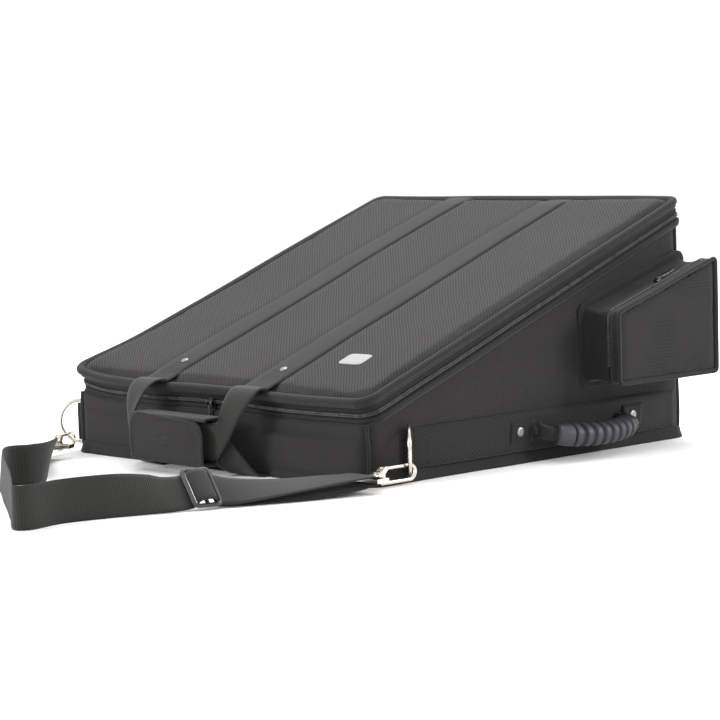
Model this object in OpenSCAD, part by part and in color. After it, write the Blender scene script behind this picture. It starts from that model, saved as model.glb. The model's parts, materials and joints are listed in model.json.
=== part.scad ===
// Wedge-shaped padded carry bag with a zipped lid, web handles, a side pocket
// and a clip-on shoulder strap. Millimetres. +Y runs to the tall hinge end,
// +X to the side with the pocket, and the bag stands on Z = 0.

/* [Body] */
// Width of the bag across its short front end
body_w = 460; // [440:1:480]
// Depth of the bag from the front to the back
body_d = 466; // [456:1:480]
// Height of the lid's top at the front
front_h = 88; // [86:1:94]
// Height of the lid's top at the back
back_h = 262; // [255:1:270]
// Thickness of the foam-padded panels
panel_t = 8; // [6:1:9]
// Radius of the body's upright corners
corner_r = 16; // [14:1:18]
// Height of the bound hem round the base
hem_h = 12; // [10:1:12]
// How far the hem stands out from the panels
hem_t = 4; // [3:1:5]

/* [Lid and zip] */
// How far the lid overhangs the sides
lid_over = 4; // [3:1:5]
// Radius of the lid's front corners
lid_front_r = 30; // [26:1:34]
// Radius of the lid's back corners
lid_back_r = 12; // [10:1:14]
// Thickness of the padded lid panel
lid_t = 9; // [8:1:9]
// Depth of the zip band below the lid's top
zip_band = 27; // [26:1:28]
// Height of one row of zip coil
coil_h = 1.4; // [1.2:0.1:1.5]

/* [Webbing and handles] */
// Width of the handle and strap webbing
web_w = 40; // [38:1:42]
// Thickness of the webbing
web_t = 2; // [1.6:0.1:2]
// Centre of the pair of web handles across the bag
handle_x = -8; // [-12:1:0]
// Half the spacing of the two handle straps
handle_half = 79; // [76:1:82]
// Length of the wrap that joins the two handles
wrap_len = 120; // [110:1:124]

/* [Pocket] */
// Near end of the pocket along the side
pocket_y0 = 72; // [68:1:76]
// Far end of the pocket along the side
pocket_y1 = 226; // [222:1:226]
// Height of the pocket's floor
pocket_z = 75; // [72:1:78]
// Depth of the pocket out from the side
pocket_d = 54; // [50:1:56]

/* [Side handle] */
// Centre of the side handle along the side
grip_y = 59; // [55:1:63]
// Radius of the moulded grip over its ribs
grip_r = 12.5; // [12:0.5:13]

/* [Fittings] */
// Radius of the ring and hook wire
wire_r = 2; // [1.8:0.1:2]
// Radius of the D-ring's curve to the wire's middle
ring_r = 23; // [22:0.5:23.5]

/* [Hidden] */
$fn = 64;

tilt = atan((back_h - front_h) / body_d);
lid_back = -6;                                  // lid outline in its own tilted frame
lid_front = -(body_d + 5) / cos(tilt);
lid_len = lid_back - lid_front;
zip_mid = -18.5;                                // the zip's middle below the lid's top
side_x = body_w / 2;
front_y = -body_d / 2;
back_y = body_d / 2;
open_gap = 0.2;                                 // half the gap between the two coil rows
tape_inset = 2.5;
tape_t = 1.5;
ring_z = 32.5;
keeper_r = 4.2;
ring_x = side_x + 6.8;
ring_y_right = -184;
ring_y_left = -225;
ring_turn_right = -42.5;                        // which way each ring points, from +X
ring_turn_left = -132.7;
ring_hang = 60;                                 // where the hook sits round the ring
hook_turn_right = 0;
hook_turn_left = 31;
eye_r = 7;                                      // hook eye, to the wire's middle
eye_y = -0.5;
gate_y = -35;
swivel_y = -46;
base_y = -58;
grip_axis = [side_x + 10, 33];                  // the side handle's hinge line, X and Z
grip_tilt = -15;
grip_half = 56;
grip_out = 30;
grip_sag = 12;
grip_bend_r = (grip_half * grip_half + grip_sag * grip_sag) / (2 * grip_sag);
pocket_slope = 17;
pocket_h = 73;
pocket_x = side_x + 2;
pocket_split = 36;
wrap_front_y = front_y - 57;
wrap_back_y = front_y - 25;
wrap_z0 = 11;
wrap_z1 = 60;
upper_web_y = front_y - 43;
lower_web_y = front_y - 35;
adjuster_at = [206, -412, 4.3];

fabric = [0.13, 0.125, 0.13];
webbing = [0.16, 0.16, 0.15];
nickel = [0.8, 0.78, 0.74];
black_plastic = [0.08, 0.08, 0.08];
grey_plastic = [0.4, 0.41, 0.43];

// A rounded outline from the front edge to the back edge, with its own corner radii.
module outline(w, y0, y1, rf, rb) {
    polygon([[-w / 2 + rf, y0], [w / 2 - rf, y0], [w / 2, y0 + rf], [w / 2, y1 - rb],
        [w / 2 - rb, y1], [-w / 2 + rb, y1], [-w / 2, y1 - rb], [-w / 2, y0 + rf]]);
    for (s = [-1, 1]) {
        translate([s * (w / 2 - rf), y0 + rf]) circle(rf);
        translate([s * (w / 2 - rb), y1 - rb]) circle(rb);
    }
}

// The body's footprint, pulled in by inset.
module footprint(inset) {
    outline(body_w - 2 * inset, front_y + inset, back_y - inset, corner_r - inset, corner_r - inset);
}

// The lid's outline in its own frame, pulled in by inset.
module lid_outline(inset) {
    outline(body_w + 2 * lid_over - 2 * inset, lid_front + inset, lid_back - inset,
        lid_front_r - inset, lid_back_r - inset);
}

// Puts its children in the lid's tilted frame: Z = 0 on the lid's top, Y = 0 at the back.
module lid_frame() {
    translate([0, back_y, back_h])
        rotate([tilt, 0, 0])
            children();
}

// A band between two insets of the lid's outline, from z0 up to z1 in the lid's frame.
module lid_band(inset0, inset1, z0, z1) {
    translate([0, 0, z0])
        linear_extrude(z1 - z0)
            difference() {
                lid_outline(inset0);
                lid_outline(inset1);
            }
}

// The three zipped sides, without the hinge side, as a block in the lid's frame.
module zipped_sides() {
    translate([-300, lid_front - 20, -60])
        cube([600, lid_len - 15, 80]);
}

// Everything below the plane that lies drop under the lid's top.
module under_lid(drop) {
    lid_frame()
        translate([-400, -700, -drop - 600])
            cube([800, 900, 600]);
}

// The slots that the two base straps lie in.
module strap_channels() {
    for (s = [-1, 1])
        translate([handle_x + s * handle_half - web_w / 2 - 0.5, front_y - 10, -1])
            cube([web_w + 1, 420, web_t + 1.2]);
}

// One wall of the body, kept inside a wedge that meets its neighbours at the corners.
module wall(wedge, drop) {
    intersection() {
        linear_extrude(back_h)
            difference() {
                footprint(0);
                footprint(panel_t);
            }
        linear_extrude(back_h) polygon(wedge);
        under_lid(drop);
    }
}

hinge_z = back_h + lid_back * sin(tilt) + zip_mid * cos(tilt);
cx = side_x - corner_r;                         // centres of the corner curves
cy = back_y - corner_r;
far = 60;

module base_panel() {
    color(fabric)
        difference() {
            linear_extrude(panel_t) footprint(panel_t);
            strap_channels();
        }
}

module front_panel() {
    color(fabric)
        difference() {
            wall([[-cx, -cy], [cx, -cy], [cx + far, -cy - far], [-cx - far, -cy - far]], zip_band);
            strap_channels();
        }
}

module back_panel() {
    color(fabric)
        wall([[-cx, cy], [cx, cy], [cx + far, cy + far], [-cx - far, cy + far]], -zip_mid + 1);
}

module left_side_panel() {
    color(fabric)
        wall([[-cx, -cy], [-cx - far, -cy - far], [-cx - far, cy + far], [-cx, cy]], zip_band);
}

module right_side_panel() {
    color(fabric)
        wall([[cx, -cy], [cx + far, -cy - far], [cx + far, cy + far], [cx, cy]], zip_band);
}

module body_lining() {
    color("dimgray")
        intersection() {
            translate([0, 0, panel_t])
                difference() {
                    linear_extrude(back_h) footprint(panel_t);
                    translate([0, 0, 1]) linear_extrude(back_h) footprint(panel_t + 1);
                }
            under_lid(zip_band);
        }
}

module base_hem() {
    color(fabric)
        difference() {
            linear_extrude(hem_h)
                difference() {
                    footprint(-hem_t);
                    footprint(0);
                }
            strap_channels();
        }
}

// A bound seam up each upright corner.
module corner_binding() {
    seam_r = 3;
    reach = corner_r + 1;
    color(fabric)
        for (sx = [-1, 1], sy = [-1, 1])
            intersection() {
                difference() {
                    translate([sx * (cx + reach * cos(45)), sy * (cy + reach * sin(45)), hem_h])
                        cylinder(r = seam_r, h = back_h);
                    translate([sx * cx, sy * cy, 0]) cylinder(r = corner_r, h = 2 * back_h);
                }
                under_lid(zip_band + 4);
            }
}

module body_zip_tape() {
    color(black_plastic)
        lid_frame()
            intersection() {
                lid_band(tape_inset, tape_inset + tape_t, -zip_band, zip_mid - open_gap);
                zipped_sides();
            }
}

module body_zip_coil() {
    color(black_plastic)
        lid_frame()
            intersection() {
                lid_band(1, tape_inset, zip_mid - open_gap - coil_h, zip_mid - open_gap);
                zipped_sides();
            }
}

module body_piping() {
    color(fabric)
        lid_frame()
            intersection() {
                lid_band(-0.5, tape_inset, -zip_band, -zip_band + 3.5);
                zipped_sides();
            }
}

// The fabric hinge along the back, sewn to the back panel below the fold.
module hinge_strip() {
    strip_h = 22;
    color(fabric)
        translate([-cx, back_y, hinge_z - 1 - strip_h])
            cube([2 * cx, 1, strip_h]);
}

module lid_panel() {
    color(fabric)
        lid_frame()
            translate([0, 0, -lid_t]) linear_extrude(lid_t) lid_outline(0);
}

module lid_lining() {
    color("dimgray")
        lid_frame()
            translate([0, 0, -lid_t - 1]) linear_extrude(1) lid_outline(6);
}

module lid_binding() {
    color(fabric)
        lid_frame()
            lid_band(-3, 0, -lid_t - 1, -0.5);
}

module lid_zip_tape() {
    color(black_plastic)
        lid_frame()
            lid_band(tape_inset, tape_inset + tape_t, zip_mid + open_gap, -lid_t);
}

module lid_zip_coil() {
    color(black_plastic)
        lid_frame()
            intersection() {
                lid_band(1, tape_inset, zip_mid + open_gap, zip_mid + open_gap + coil_h);
                zipped_sides();
            }
}

module lid_strap(side) {
    color(webbing)
        lid_frame()
            translate([handle_x + side * handle_half - web_w / 2, lid_front, 0])
                cube([web_w, lid_len - 3, web_t]);
}

module lid_rivets() {
    color(nickel)
        lid_frame()
            for (s = [-1, 1])
                translate([handle_x + s * handle_half, lid_front + 44, web_t])
                    cylinder(r1 = 5, r2 = 4, h = 1.2);
}

module lid_label() {
    color("gainsboro")
        lid_frame()
            translate([146, lid_front + 76, 0])
                intersection() {
                    translate([-17, -11, 0]) cube([34, 22, 0.8]);
                    cylinder(r = 18, h = 0.8);
                }
}

function unit(v) = v / norm(v);

// The four corners of a ribbon's section at each pair of edge points.
function ribbon_points(a, b, t) = [
    for (i = [0:len(a) - 1])
        let (
            p = max(i - 1, 0),
            q = min(i + 1, len(a) - 1),
            n = unit(cross(a[q] + b[q] - a[p] - b[p], b[i] - a[i])) * t / 2
        )
        each [a[i] - n, b[i] - n, b[i] + n, a[i] + n]
];

// Triangles round a tube of four-cornered sections, with its two ends closed.
function ribbon_faces(n) = concat(
    [[0, 1, 2], [0, 2, 3]],
    [
        for (i = [0:n - 2], k = [0:3])
            let (a = 4 * i + k, b = 4 * i + (k + 1) % 4)
            each [[a, a + 4, b + 4], [a, b + 4, b]]
    ],
    [[4 * n - 4, 4 * n - 2, 4 * n - 3], [4 * n - 4, 4 * n - 1, 4 * n - 2]]
);

// A band of webbing between two edges, given point by point.
module ribbon(a, b) {
    polyhedron(ribbon_points(a, b, web_t), ribbon_faces(len(a)));
}

function mirrored(points) = [
    for (i = [len(points) - 1:-1:0])
        [2 * handle_x - points[i][0], points[i][1], points[i][2]]
];

// Low and high edges of the left half of each handle loop, from the bag to the grip.
upper_low = [[handle_x - 99, -240, 89], [handle_x - 99, -254, 84], [handle_x - 91, -267, 62],
    [handle_x - 76, -275, 32], [handle_x - 60, upper_web_y, 18], [handle_x - 20, upper_web_y, 16]];
upper_high = [[handle_x - 59, -240, 89], [handle_x - 62, -252, 86], [handle_x - 65, -266, 75],
    [handle_x - 67, -274, 63], [handle_x - 63, upper_web_y, 55.5], [handle_x - 20, upper_web_y, 55]];
lower_low = [[handle_x - 59, -239, 1], [handle_x - 58, -250, 2], [handle_x - 58, -262, 6],
    [handle_x - 54, lower_web_y, 11], [handle_x - 40, lower_web_y, 14], [handle_x - 20, lower_web_y, 14]];
lower_high = [[handle_x - 99, -239, 1], [handle_x - 97, -252, 5], [handle_x - 86, -264, 24],
    [handle_x - 68, lower_web_y, 42], [handle_x - 46, lower_web_y, 52], [handle_x - 20, lower_web_y, 53]];

module upper_handle() {
    color(webbing)
        ribbon(concat(upper_low, mirrored(upper_low)), concat(upper_high, mirrored(upper_high)));
}

module lower_handle() {
    color(webbing)
        ribbon(concat(lower_low, mirrored(lower_low)), concat(lower_high, mirrored(lower_high)));
}

module base_straps() {
    color(webbing)
        for (s = [-1, 1])
            translate([handle_x + s * handle_half - web_w / 2, front_y - hem_t, 0])
                cube([web_w, 400, web_t]);
}

// The wrap round the upper loop: floor, back and top, with a short lip behind.
module handle_wrap() {
    skin = 1.5;
    core_y = upper_web_y + 3;
    color(fabric)
        translate([handle_x - wrap_len / 2, 0, 0]) {
            translate([0, wrap_front_y + 3.4, wrap_z0])
                cube([wrap_len, core_y + skin - wrap_front_y - 3.4, 2.5]);
            translate([0, core_y, wrap_z0]) cube([wrap_len, skin, wrap_z1 - wrap_z0]);
            translate([0, wrap_front_y + 3.4, wrap_z1 - 2.5])
                cube([wrap_len, wrap_back_y - wrap_front_y - 3.4, 2.5]);
            translate([0, wrap_back_y - skin, wrap_z1 - 5]) cube([wrap_len, skin, 2.5]);
        }
}

// The front flap, hinged along its foot, with its free corners rounded.
module wrap_flap() {
    flap_r = 14;
    color(fabric)
        translate([handle_x, wrap_front_y + 3, wrap_z0])
            rotate([90, 0, 0])
                linear_extrude(3)
                    outline(wrap_len, 0, wrap_z1 - wrap_z0, 1, flap_r);
}

// The outer plate of a slider, with the bridge that its pull hangs from.
module zip_slider(x) {
    color(black_plastic)
        lid_frame()
            translate([x, lid_front + 0.7, zip_mid]) {
                translate([-5, -2.4, -5]) cube([10, 2.4, 10]);
                for (s = [-1, 1])
                    translate([s * 4 - 0.8, -5, -2]) cube([1.6, 2.7, 4]);
            }
}

slider_left_x = handle_x + 6;
slider_right_x = handle_x + 32;
pull_y = back_y + (lid_front - 3) * cos(tilt) - zip_mid * sin(tilt);
pull_z = back_h + (lid_front - 3) * sin(tilt) + zip_mid * cos(tilt);

// A flat pull with an eye at its foot, hanging straight down.
module zip_pull(x) {
    color(black_plastic)
        translate([x, pull_y, pull_z]) {
            rotate([0, 90, 0]) cylinder(r = 1.1, h = 6, center = true);
            translate([-1.5, -0.8, -6]) cube([3, 1.4, 6]);
            difference() {
                translate([-3.5, -0.8, -31]) cube([7, 1.4, 26]);
                translate([0, 0, -27]) rotate([90, 0, 0]) cylinder(r = 1.8, h = 6, center = true);
            }
        }
}

// A coarse band sewn low along one side, its front end folded round the ring's bar.
module side_band(side, y0) {
    z0 = hem_h + 0.5;
    color(webbing)
        difference() {
            union() {
                translate([side > 0 ? side_x : -side_x - web_t, y0 + keeper_r, z0])
                    cube([web_t, back_y - corner_r - y0 - keeper_r, web_w]);
                translate([side * ring_x, y0, z0]) cylinder(r = keeper_r, h = web_w);
                translate([side > 0 ? side_x : -ring_x, y0 + 1, z0])
                    cube([ring_x - side_x, keeper_r - 0.5, web_w]);
            }
            translate([side * ring_x, y0, z0 - 1]) cylinder(r = wire_r + 0.06, h = web_w + 2);
        }
}

module handle_patches() {
    color(webbing)
        for (s = [-1, 1])
            translate([side_x + web_t, grip_y + s * 84 - 16, grip_axis[1] - 11])
                cube([1.5, 32, 22]);
}

module handle_rivets() {
    color(nickel)
        for (s = [-1, 1])
            translate([side_x + web_t + 1.5, grip_y + s * 84, grip_axis[1]])
                rotate([0, 90, 0]) cylinder(r1 = 5, r2 = 4, h = 1.2);
}

// Puts its children in the side handle's plane: X outwards from its hinge line.
module handle_frame() {
    translate([grip_axis[0], grip_y, grip_axis[1]])
        rotate([0, -grip_tilt, 0])
            children();
}

// A bent bar of radius r along the grip's own curve, half degrees to each side.
module bent_bar(r, from, to) {
    translate([grip_out - grip_bend_r, 0, 0])
        rotate([0, 0, from])
            rotate_extrude(angle = to - from)
                translate([grip_bend_r, 0]) circle(r);
}

grip_angle = asin(grip_half / grip_bend_r);

module side_handle_webbing() {
    core_r = 5;
    knuckle_y = grip_half + 9;
    color(webbing)
        handle_frame() {
            bent_bar(core_r, -grip_angle - 1, grip_angle + 1);
            for (s = [-1, 1]) {
                translate([0, s * knuckle_y, 0]) rotate([90, 0, 0])
                    cylinder(r = 5.4, h = 14, center = true);
                hull() {
                    translate([2, s * knuckle_y, 0]) cube([4, 13, 9], center = true);
                    translate([grip_out - grip_sag - 1, s * (grip_half + 1), 0])
                        cube([8, 4, 10], center = true);
                }
            }
        }
}

module side_handle_grip() {
    ribs = 8;
    span = 2 * grip_angle - 12;
    color(grey_plastic)
        handle_frame()
            difference() {
                union() {
                    bent_bar(grip_r - 2, -grip_angle, grip_angle);
                    for (s = [-1, 1])
                        bent_bar(grip_r - 0.5, s > 0 ? grip_angle - 6 : -grip_angle,
                            s > 0 ? grip_angle : -grip_angle + 6);
                    for (i = [0:ribs - 1])
                        let (a = -span / 2 + (i + 0.5) * span / ribs)
                            bent_bar(grip_r, a - 1.3, a + 1.3);
                }
                bent_bar(5.3, -grip_angle - 2, grip_angle + 2);
            }
}

// The pocket's side view, Y along and Z up, its top sloping with the lid.
module pocket_shape(inset) {
    run = pocket_y1 - pocket_y0;
    rise = run * tan(pocket_slope);
    polygon([[pocket_y0 + inset, pocket_z + inset], [pocket_y1 - inset, pocket_z + inset],
        [pocket_y1 - inset, pocket_z + pocket_h + rise - inset * 1.3],
        [pocket_y0 + inset, pocket_z + pocket_h - inset * 0.8]]);
}

// Extrudes the pocket's side view outwards, from x0 to x1 past the side panel.
module pocket_layer(x0, x1) {
    translate([pocket_x + x0, 0, 0])
        rotate([90, 0, 90])
            linear_extrude(x1 - x0)
                children();
}

module pocket_rim(x0, x1, inset, t) {
    pocket_layer(x0, x1)
        difference() {
            pocket_shape(inset);
            pocket_shape(inset + t);
        }
}

// The three zipped edges of the pocket, above where the zip stops.
module pocket_zipped() {
    translate([side_x - 10, pocket_y0 - 20, pocket_z + 20])
        cube([100, 200, 200]);
}

module pocket_back() {
    color(fabric)
        translate([-2, 0, 0]) pocket_layer(0, 2) pocket_shape(-6);
}

module pocket_gusset() {
    color(fabric) {
        pocket_rim(0.1, pocket_split, 0, 3);
        difference() {
            pocket_rim(pocket_split, pocket_d - 3.5, 0, 3);
            translate([side_x - 10, pocket_y0 - 20, pocket_z + 8]) cube([100, 200, 200]);
        }
    }
}

module pocket_front() {
    color(fabric) {
        pocket_layer(pocket_d - 3, pocket_d) pocket_shape(0);
        intersection() {
            pocket_rim(pocket_split + 3, pocket_d - 3, 0, 3);
            translate([side_x - 10, pocket_y0 - 20, pocket_z + 9]) cube([100, 200, 200]);
        }
    }
}

module pocket_zip_fixed() {
    color(black_plastic)
        intersection() {
            pocket_rim(pocket_split + 0.1, pocket_split + 1.3, 0.6, 1.8);
            pocket_zipped();
        }
}

module pocket_zip_moving() {
    color(black_plastic)
        intersection() {
            pocket_rim(pocket_split + 1.7, pocket_split + 2.9, 0.6, 1.8);
            pocket_zipped();
        }
}

// Puts its children on the pocket's sloping top, Y up the slope towards the back.
module pocket_top_frame() {
    translate([pocket_x + pocket_split + 1, pocket_y0, pocket_z + pocket_h])
        rotate([pocket_slope, 0, 0])
            children();
}

slider_run = 88;

module pocket_slider() {
    color(black_plastic)
        pocket_top_frame()
            translate([-9, slider_run - 4, 0.3]) {
                cube([8, 8, 2]);
                for (s = [0, 6.6]) translate([s, 2.5, 1.9]) cube([1.4, 3, 2.4]);
            }
}

module pocket_pull() {
    color(black_plastic)
        pocket_top_frame()
            translate([-5, slider_run, 3.4]) {
                rotate([0, 90, 0]) cylinder(r = 0.9, h = 4.8, center = true);
                translate([-1.5, 0.5, -0.6]) cube([3, 6, 1.2]);
                translate([-3, 6, -0.6]) cube([6, 22, 1.2]);
            }
}

// A D-ring with its straight bar on Z and its curve towards +X.
module d_ring() {
    color(nickel) {
        cylinder(r = wire_r, h = 2 * ring_r, center = true);
        rotate([90, 0, 0]) rotate([0, 0, -90])
            rotate_extrude(angle = 180) translate([ring_r, 0]) circle(wire_r);
        for (s = [-1, 1]) translate([0, 0, s * ring_r]) sphere(wire_r);
    }
}

module place_ring(side, y, turn) {
    translate([side * ring_x, y, ring_z]) rotate([0, 0, turn]) children();
}

// Puts its children at the middle of a ring's wire, with the hook running to -Y.
module place_hook(side, y, ring_turn, hook_turn) {
    translate([side * ring_x, y, ring_z])
        rotate([0, 0, ring_turn])
            translate([ring_r * cos(ring_hang), 0, -ring_r * sin(ring_hang)])
                rotate([0, 0, hook_turn - ring_turn])
                    children();
}

// The open eye of a snap hook with its collar, in the YZ plane.
module hook_body() {
    color(nickel)
        difference() {
            union() {
                translate([0, eye_y, 0]) rotate([0, 90, 0])
                    rotate_extrude(angle = 180) translate([eye_r, 0]) circle(wire_r);
                translate([0, eye_y, eye_r]) rotate([90, 0, 0]) cylinder(r = wire_r, h = 7.5);
                translate([0, eye_y, -eye_r]) rotate([90, 0, 0]) cylinder(r = wire_r, h = 36.5);
                translate([0, -37, -eye_r]) sphere(wire_r);
                translate([0, -37, -eye_r]) rotate([45, 0, 0]) cylinder(r = wire_r, h = 6);
                translate([0, swivel_y, 0]) rotate([-90, 0, 0]) cylinder(r = 5.5, h = 8);
                for (s = [-1, 1])
                    hull() {
                        translate([s * 3.2, gate_y, eye_r]) rotate([0, 90, 0])
                            cylinder(r = 2.4, h = 1.2, center = true, $fn = 32);
                        translate([s * 3.2, swivel_y + 6, 2]) cube([1.2, 3, 5], center = true);
                    }
            }
            translate([0, swivel_y - 1, 0]) rotate([-90, 0, 0]) cylinder(r = 2.06, h = 6);
            translate([0, gate_y, eye_r]) rotate([0, 90, 0]) cylinder(r = 0.8, h = 12, center = true);
        }
}

module hook_gate() {
    color(nickel)
        difference() {
            union() {
                translate([0, gate_y, eye_r]) rotate([0, 90, 0])
                    cylinder(r = 2.4, h = 4.6, center = true);
                translate([0, gate_y, eye_r]) rotate([-90, 0, 0])
                    cylinder(r = 1.8, h = -gate_y - 9);
            }
            translate([0, gate_y, eye_r]) rotate([0, 90, 0]) cylinder(r = 0.86, h = 12, center = true);
        }
}

module gate_pin() {
    color(nickel)
        translate([0, gate_y, eye_r]) rotate([0, 90, 0]) cylinder(r = 0.8, h = 7.6, center = true);
}

// The swivel's post and the flat loop that the webbing is sewn round.
module hook_base() {
    color(nickel) {
        translate([0, swivel_y - 6, 0]) rotate([-90, 0, 0]) cylinder(r = 2, h = 10);
        translate([0, swivel_y - 5, 0]) rotate([-90, 0, 0]) cylinder(r = 4.5, h = 4.4);
        translate([0, base_y, 0])
            difference() {
                cube([48, 15, 4], center = true);
                cube([web_w + 2, 8, 6], center = true);
            }
    }
}

// Bottom edge, sideways lean and leaning angle of the shoulder strap at each point
// of its run: [x, y, z, azimuth of the upper edge, angle up from the floor].
strap_run = [
    [-227, -301, 12.6, 31, 0], [-215, -330, 8, 31, 6], [-194, -372, 3, 20, 38],
    [-160, -410, 1, 40, 75], [-130, -430, 1, 60, 82], [-85, -448, 1, 75, 82],
    [-30, -455, 1, 90, 82], [30, -455, 1, 80, 80], [80, -464, 1, 60, 82],
    [112, -500, 1, 30, 84], [132, -550, 1, 10, 86], [142, -590, 1, 0, 87],
    [152, -604, 1, -60, 88], [166, -604, 1, -120, 88], [172, -590, 1, 175, 87],
    [168, -545, 1, 180, 86], [180, -498, 1, 165, 76], [191, -462, 0.8, 165, 58],
    [197, -444, 0.8, 165, 46], [201, -429, 0.8, 165, 42]
];

function strap_low(run) = [for (s = run) [s[0], s[1], s[2]]];
function strap_high(run) = [
    for (s = run)
        [s[0], s[1], s[2]] + web_w * [cos(s[4]) * cos(s[3]), cos(s[4]) * sin(s[3]), sin(s[4])]
];

module shoulder_strap() {
    color(webbing) ribbon(strap_low(strap_run), strap_high(strap_run));
}

// The doubled end: out under the hook's loop, round its bar and back on top.
return_run = [
    [211, -395, 0.8, 165, 38], [222, -372, 0.8, 168, 26], [245, -320, 1.4, 175, 10],
    [261, -275, 5.5, 180, 2], [265.5, -262, 8, 180, 0], [265.5, -253, 8.8, 180, 0],
    [265.5, -249.6, 12.6, 180, 0], [265.5, -253, 16.4, 180, 0], [265, -262, 16.6, 180, 0],
    [257, -290, 14.5, 177, 4], [242, -335, 11, 174, 13], [226, -375, 7, 168, 26],
    [215, -395, 4.6, 165, 36]
];

module strap_return() {
    color(webbing) ribbon(strap_low(return_run), strap_high(return_run));
}

// A three-bar slide, leaning back with the strap.
module strap_adjuster() {
    frame_l = 30;
    frame_w = 48;
    slot_l = 6;
    color(grey_plastic)
        translate(adjuster_at)
            rotate([0, 0, -17])
                rotate([0, 40, 0])
                    difference() {
                        translate([-frame_w + 4, -frame_l / 2, -2]) cube([frame_w, frame_l, 4]);
                        for (y = [-9.5, 3.5])
                            translate([-web_w - 1, y, -3]) cube([web_w + 2, slot_l, 6]);
                    }
}

base_panel();
front_panel();
back_panel();
left_side_panel();
right_side_panel();
body_lining();
base_hem();
corner_binding();
body_zip_tape();
body_zip_coil();
body_piping();
hinge_strip();
lid_panel();
lid_lining();
lid_binding();
lid_zip_tape();
lid_zip_coil();
lid_strap(-1);  // lid_strap_left
lid_strap(1);  // lid_strap_right
lid_rivets();
lid_label();
upper_handle();
handle_wrap();
wrap_flap();
lower_handle();
base_straps();
zip_slider(slider_left_x);  // zip_slider_left
zip_slider(slider_right_x);  // zip_slider_right
zip_pull(slider_left_x);  // zip_pull_left
zip_pull(slider_right_x);  // zip_pull_right
side_band(1, ring_y_right);  // side_band_right
side_band(-1, ring_y_left);  // side_band_left
handle_patches();
handle_rivets();
side_handle_webbing();
side_handle_grip();
pocket_back();
pocket_gusset();
pocket_front();
pocket_zip_fixed();
pocket_zip_moving();
pocket_slider();
pocket_pull();
place_ring(1, ring_y_right, ring_turn_right) d_ring();  // d_ring_right
place_ring(-1, ring_y_left, ring_turn_left) d_ring();  // d_ring_left
place_hook(1, ring_y_right, ring_turn_right, hook_turn_right) hook_body();  // hook_right
place_hook(-1, ring_y_left, ring_turn_left, hook_turn_left) hook_body();  // hook_left
place_hook(1, ring_y_right, ring_turn_right, hook_turn_right) hook_gate();  // hook_gate_right
place_hook(-1, ring_y_left, ring_turn_left, hook_turn_left) hook_gate();  // hook_gate_left
place_hook(1, ring_y_right, ring_turn_right, hook_turn_right) gate_pin();  // gate_pin_right
place_hook(-1, ring_y_left, ring_turn_left, hook_turn_left) gate_pin();  // gate_pin_left
place_hook(1, ring_y_right, ring_turn_right, hook_turn_right) hook_base();  // hook_base_right
place_hook(-1, ring_y_left, ring_turn_left, hook_turn_left) hook_base();  // hook_base_left
shoulder_strap();
strap_return();
strap_adjuster();
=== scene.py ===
"""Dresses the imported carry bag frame: padded cloth, webbing, zips, fittings and stage."""
import json
import math

import bmesh
import bpy
import numpy as np
from bpy.props import FloatProperty, FloatVectorProperty, PointerProperty
from mathutils import Matrix, Vector, noise
from mathutils.bvhtree import BVHTree


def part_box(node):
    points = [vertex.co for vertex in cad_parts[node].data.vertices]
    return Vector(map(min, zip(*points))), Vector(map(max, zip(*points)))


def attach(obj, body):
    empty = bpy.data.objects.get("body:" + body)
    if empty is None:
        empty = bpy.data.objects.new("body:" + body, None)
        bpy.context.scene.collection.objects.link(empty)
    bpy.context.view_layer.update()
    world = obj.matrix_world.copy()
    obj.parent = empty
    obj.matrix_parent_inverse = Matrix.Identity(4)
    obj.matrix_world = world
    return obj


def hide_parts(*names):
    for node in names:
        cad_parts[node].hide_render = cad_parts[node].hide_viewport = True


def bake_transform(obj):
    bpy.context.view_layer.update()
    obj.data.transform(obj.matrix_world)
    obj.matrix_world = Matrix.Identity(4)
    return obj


bl_info = {
    "name": "Padded Carry Bag",
    "version": (1, 0, 0),
    "blender": (4, 5, 0),
    "location": "View3D > Sidebar > Bag",
    "description": "Builds the cloth, webbing, zips and fittings of a wedge-shaped carry bag",
    "category": "Object",
}

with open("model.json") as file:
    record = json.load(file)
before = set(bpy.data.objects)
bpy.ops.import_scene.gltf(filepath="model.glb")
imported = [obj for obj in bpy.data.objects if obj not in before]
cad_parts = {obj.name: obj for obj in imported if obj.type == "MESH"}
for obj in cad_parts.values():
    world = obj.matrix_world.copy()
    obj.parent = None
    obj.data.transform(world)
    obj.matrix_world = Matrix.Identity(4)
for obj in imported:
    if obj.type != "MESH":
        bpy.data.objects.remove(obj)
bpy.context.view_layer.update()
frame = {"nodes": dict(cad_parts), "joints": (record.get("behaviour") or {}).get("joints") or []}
NODES = frame["nodes"]
MM = 0.001


# ---------------------------------------------------------------- measures taken from the frame

def node_points(name):
    """The vertices of a CAD node as an array."""
    return np.array([v.co for v in NODES[name].data.vertices], float)


HEM_LO, HEM_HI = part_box("base_hem")
HEM_OUT = 4 * MM
BODY_X = HEM_HI.x - HEM_OUT
BODY_Y = HEM_HI.y - HEM_OUT
BODY_R = 16 * MM
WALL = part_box("body_lining")[0].z
TOP_FACE = max(NODES["lid_panel"].data.polygons, key=lambda f: f.area if f.normal.z > 0.5 else 0)
TILT = math.atan2(-TOP_FACE.normal.y, TOP_FACE.normal.z)
COS_T, SIN_T = math.cos(TILT), math.sin(TILT)
BACK_H = TOP_FACE.center.z + (BODY_Y - TOP_FACE.center.y) * math.tan(TILT)


def into_lid(points):
    """Row frame to the lid's own frame: X across, Y up the slope, Z off the lid."""
    y, z = points[..., 1] - BODY_Y, points[..., 2] - BACK_H
    return np.stack([points[..., 0], y * COS_T + z * SIN_T, z * COS_T - y * SIN_T], -1)


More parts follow.
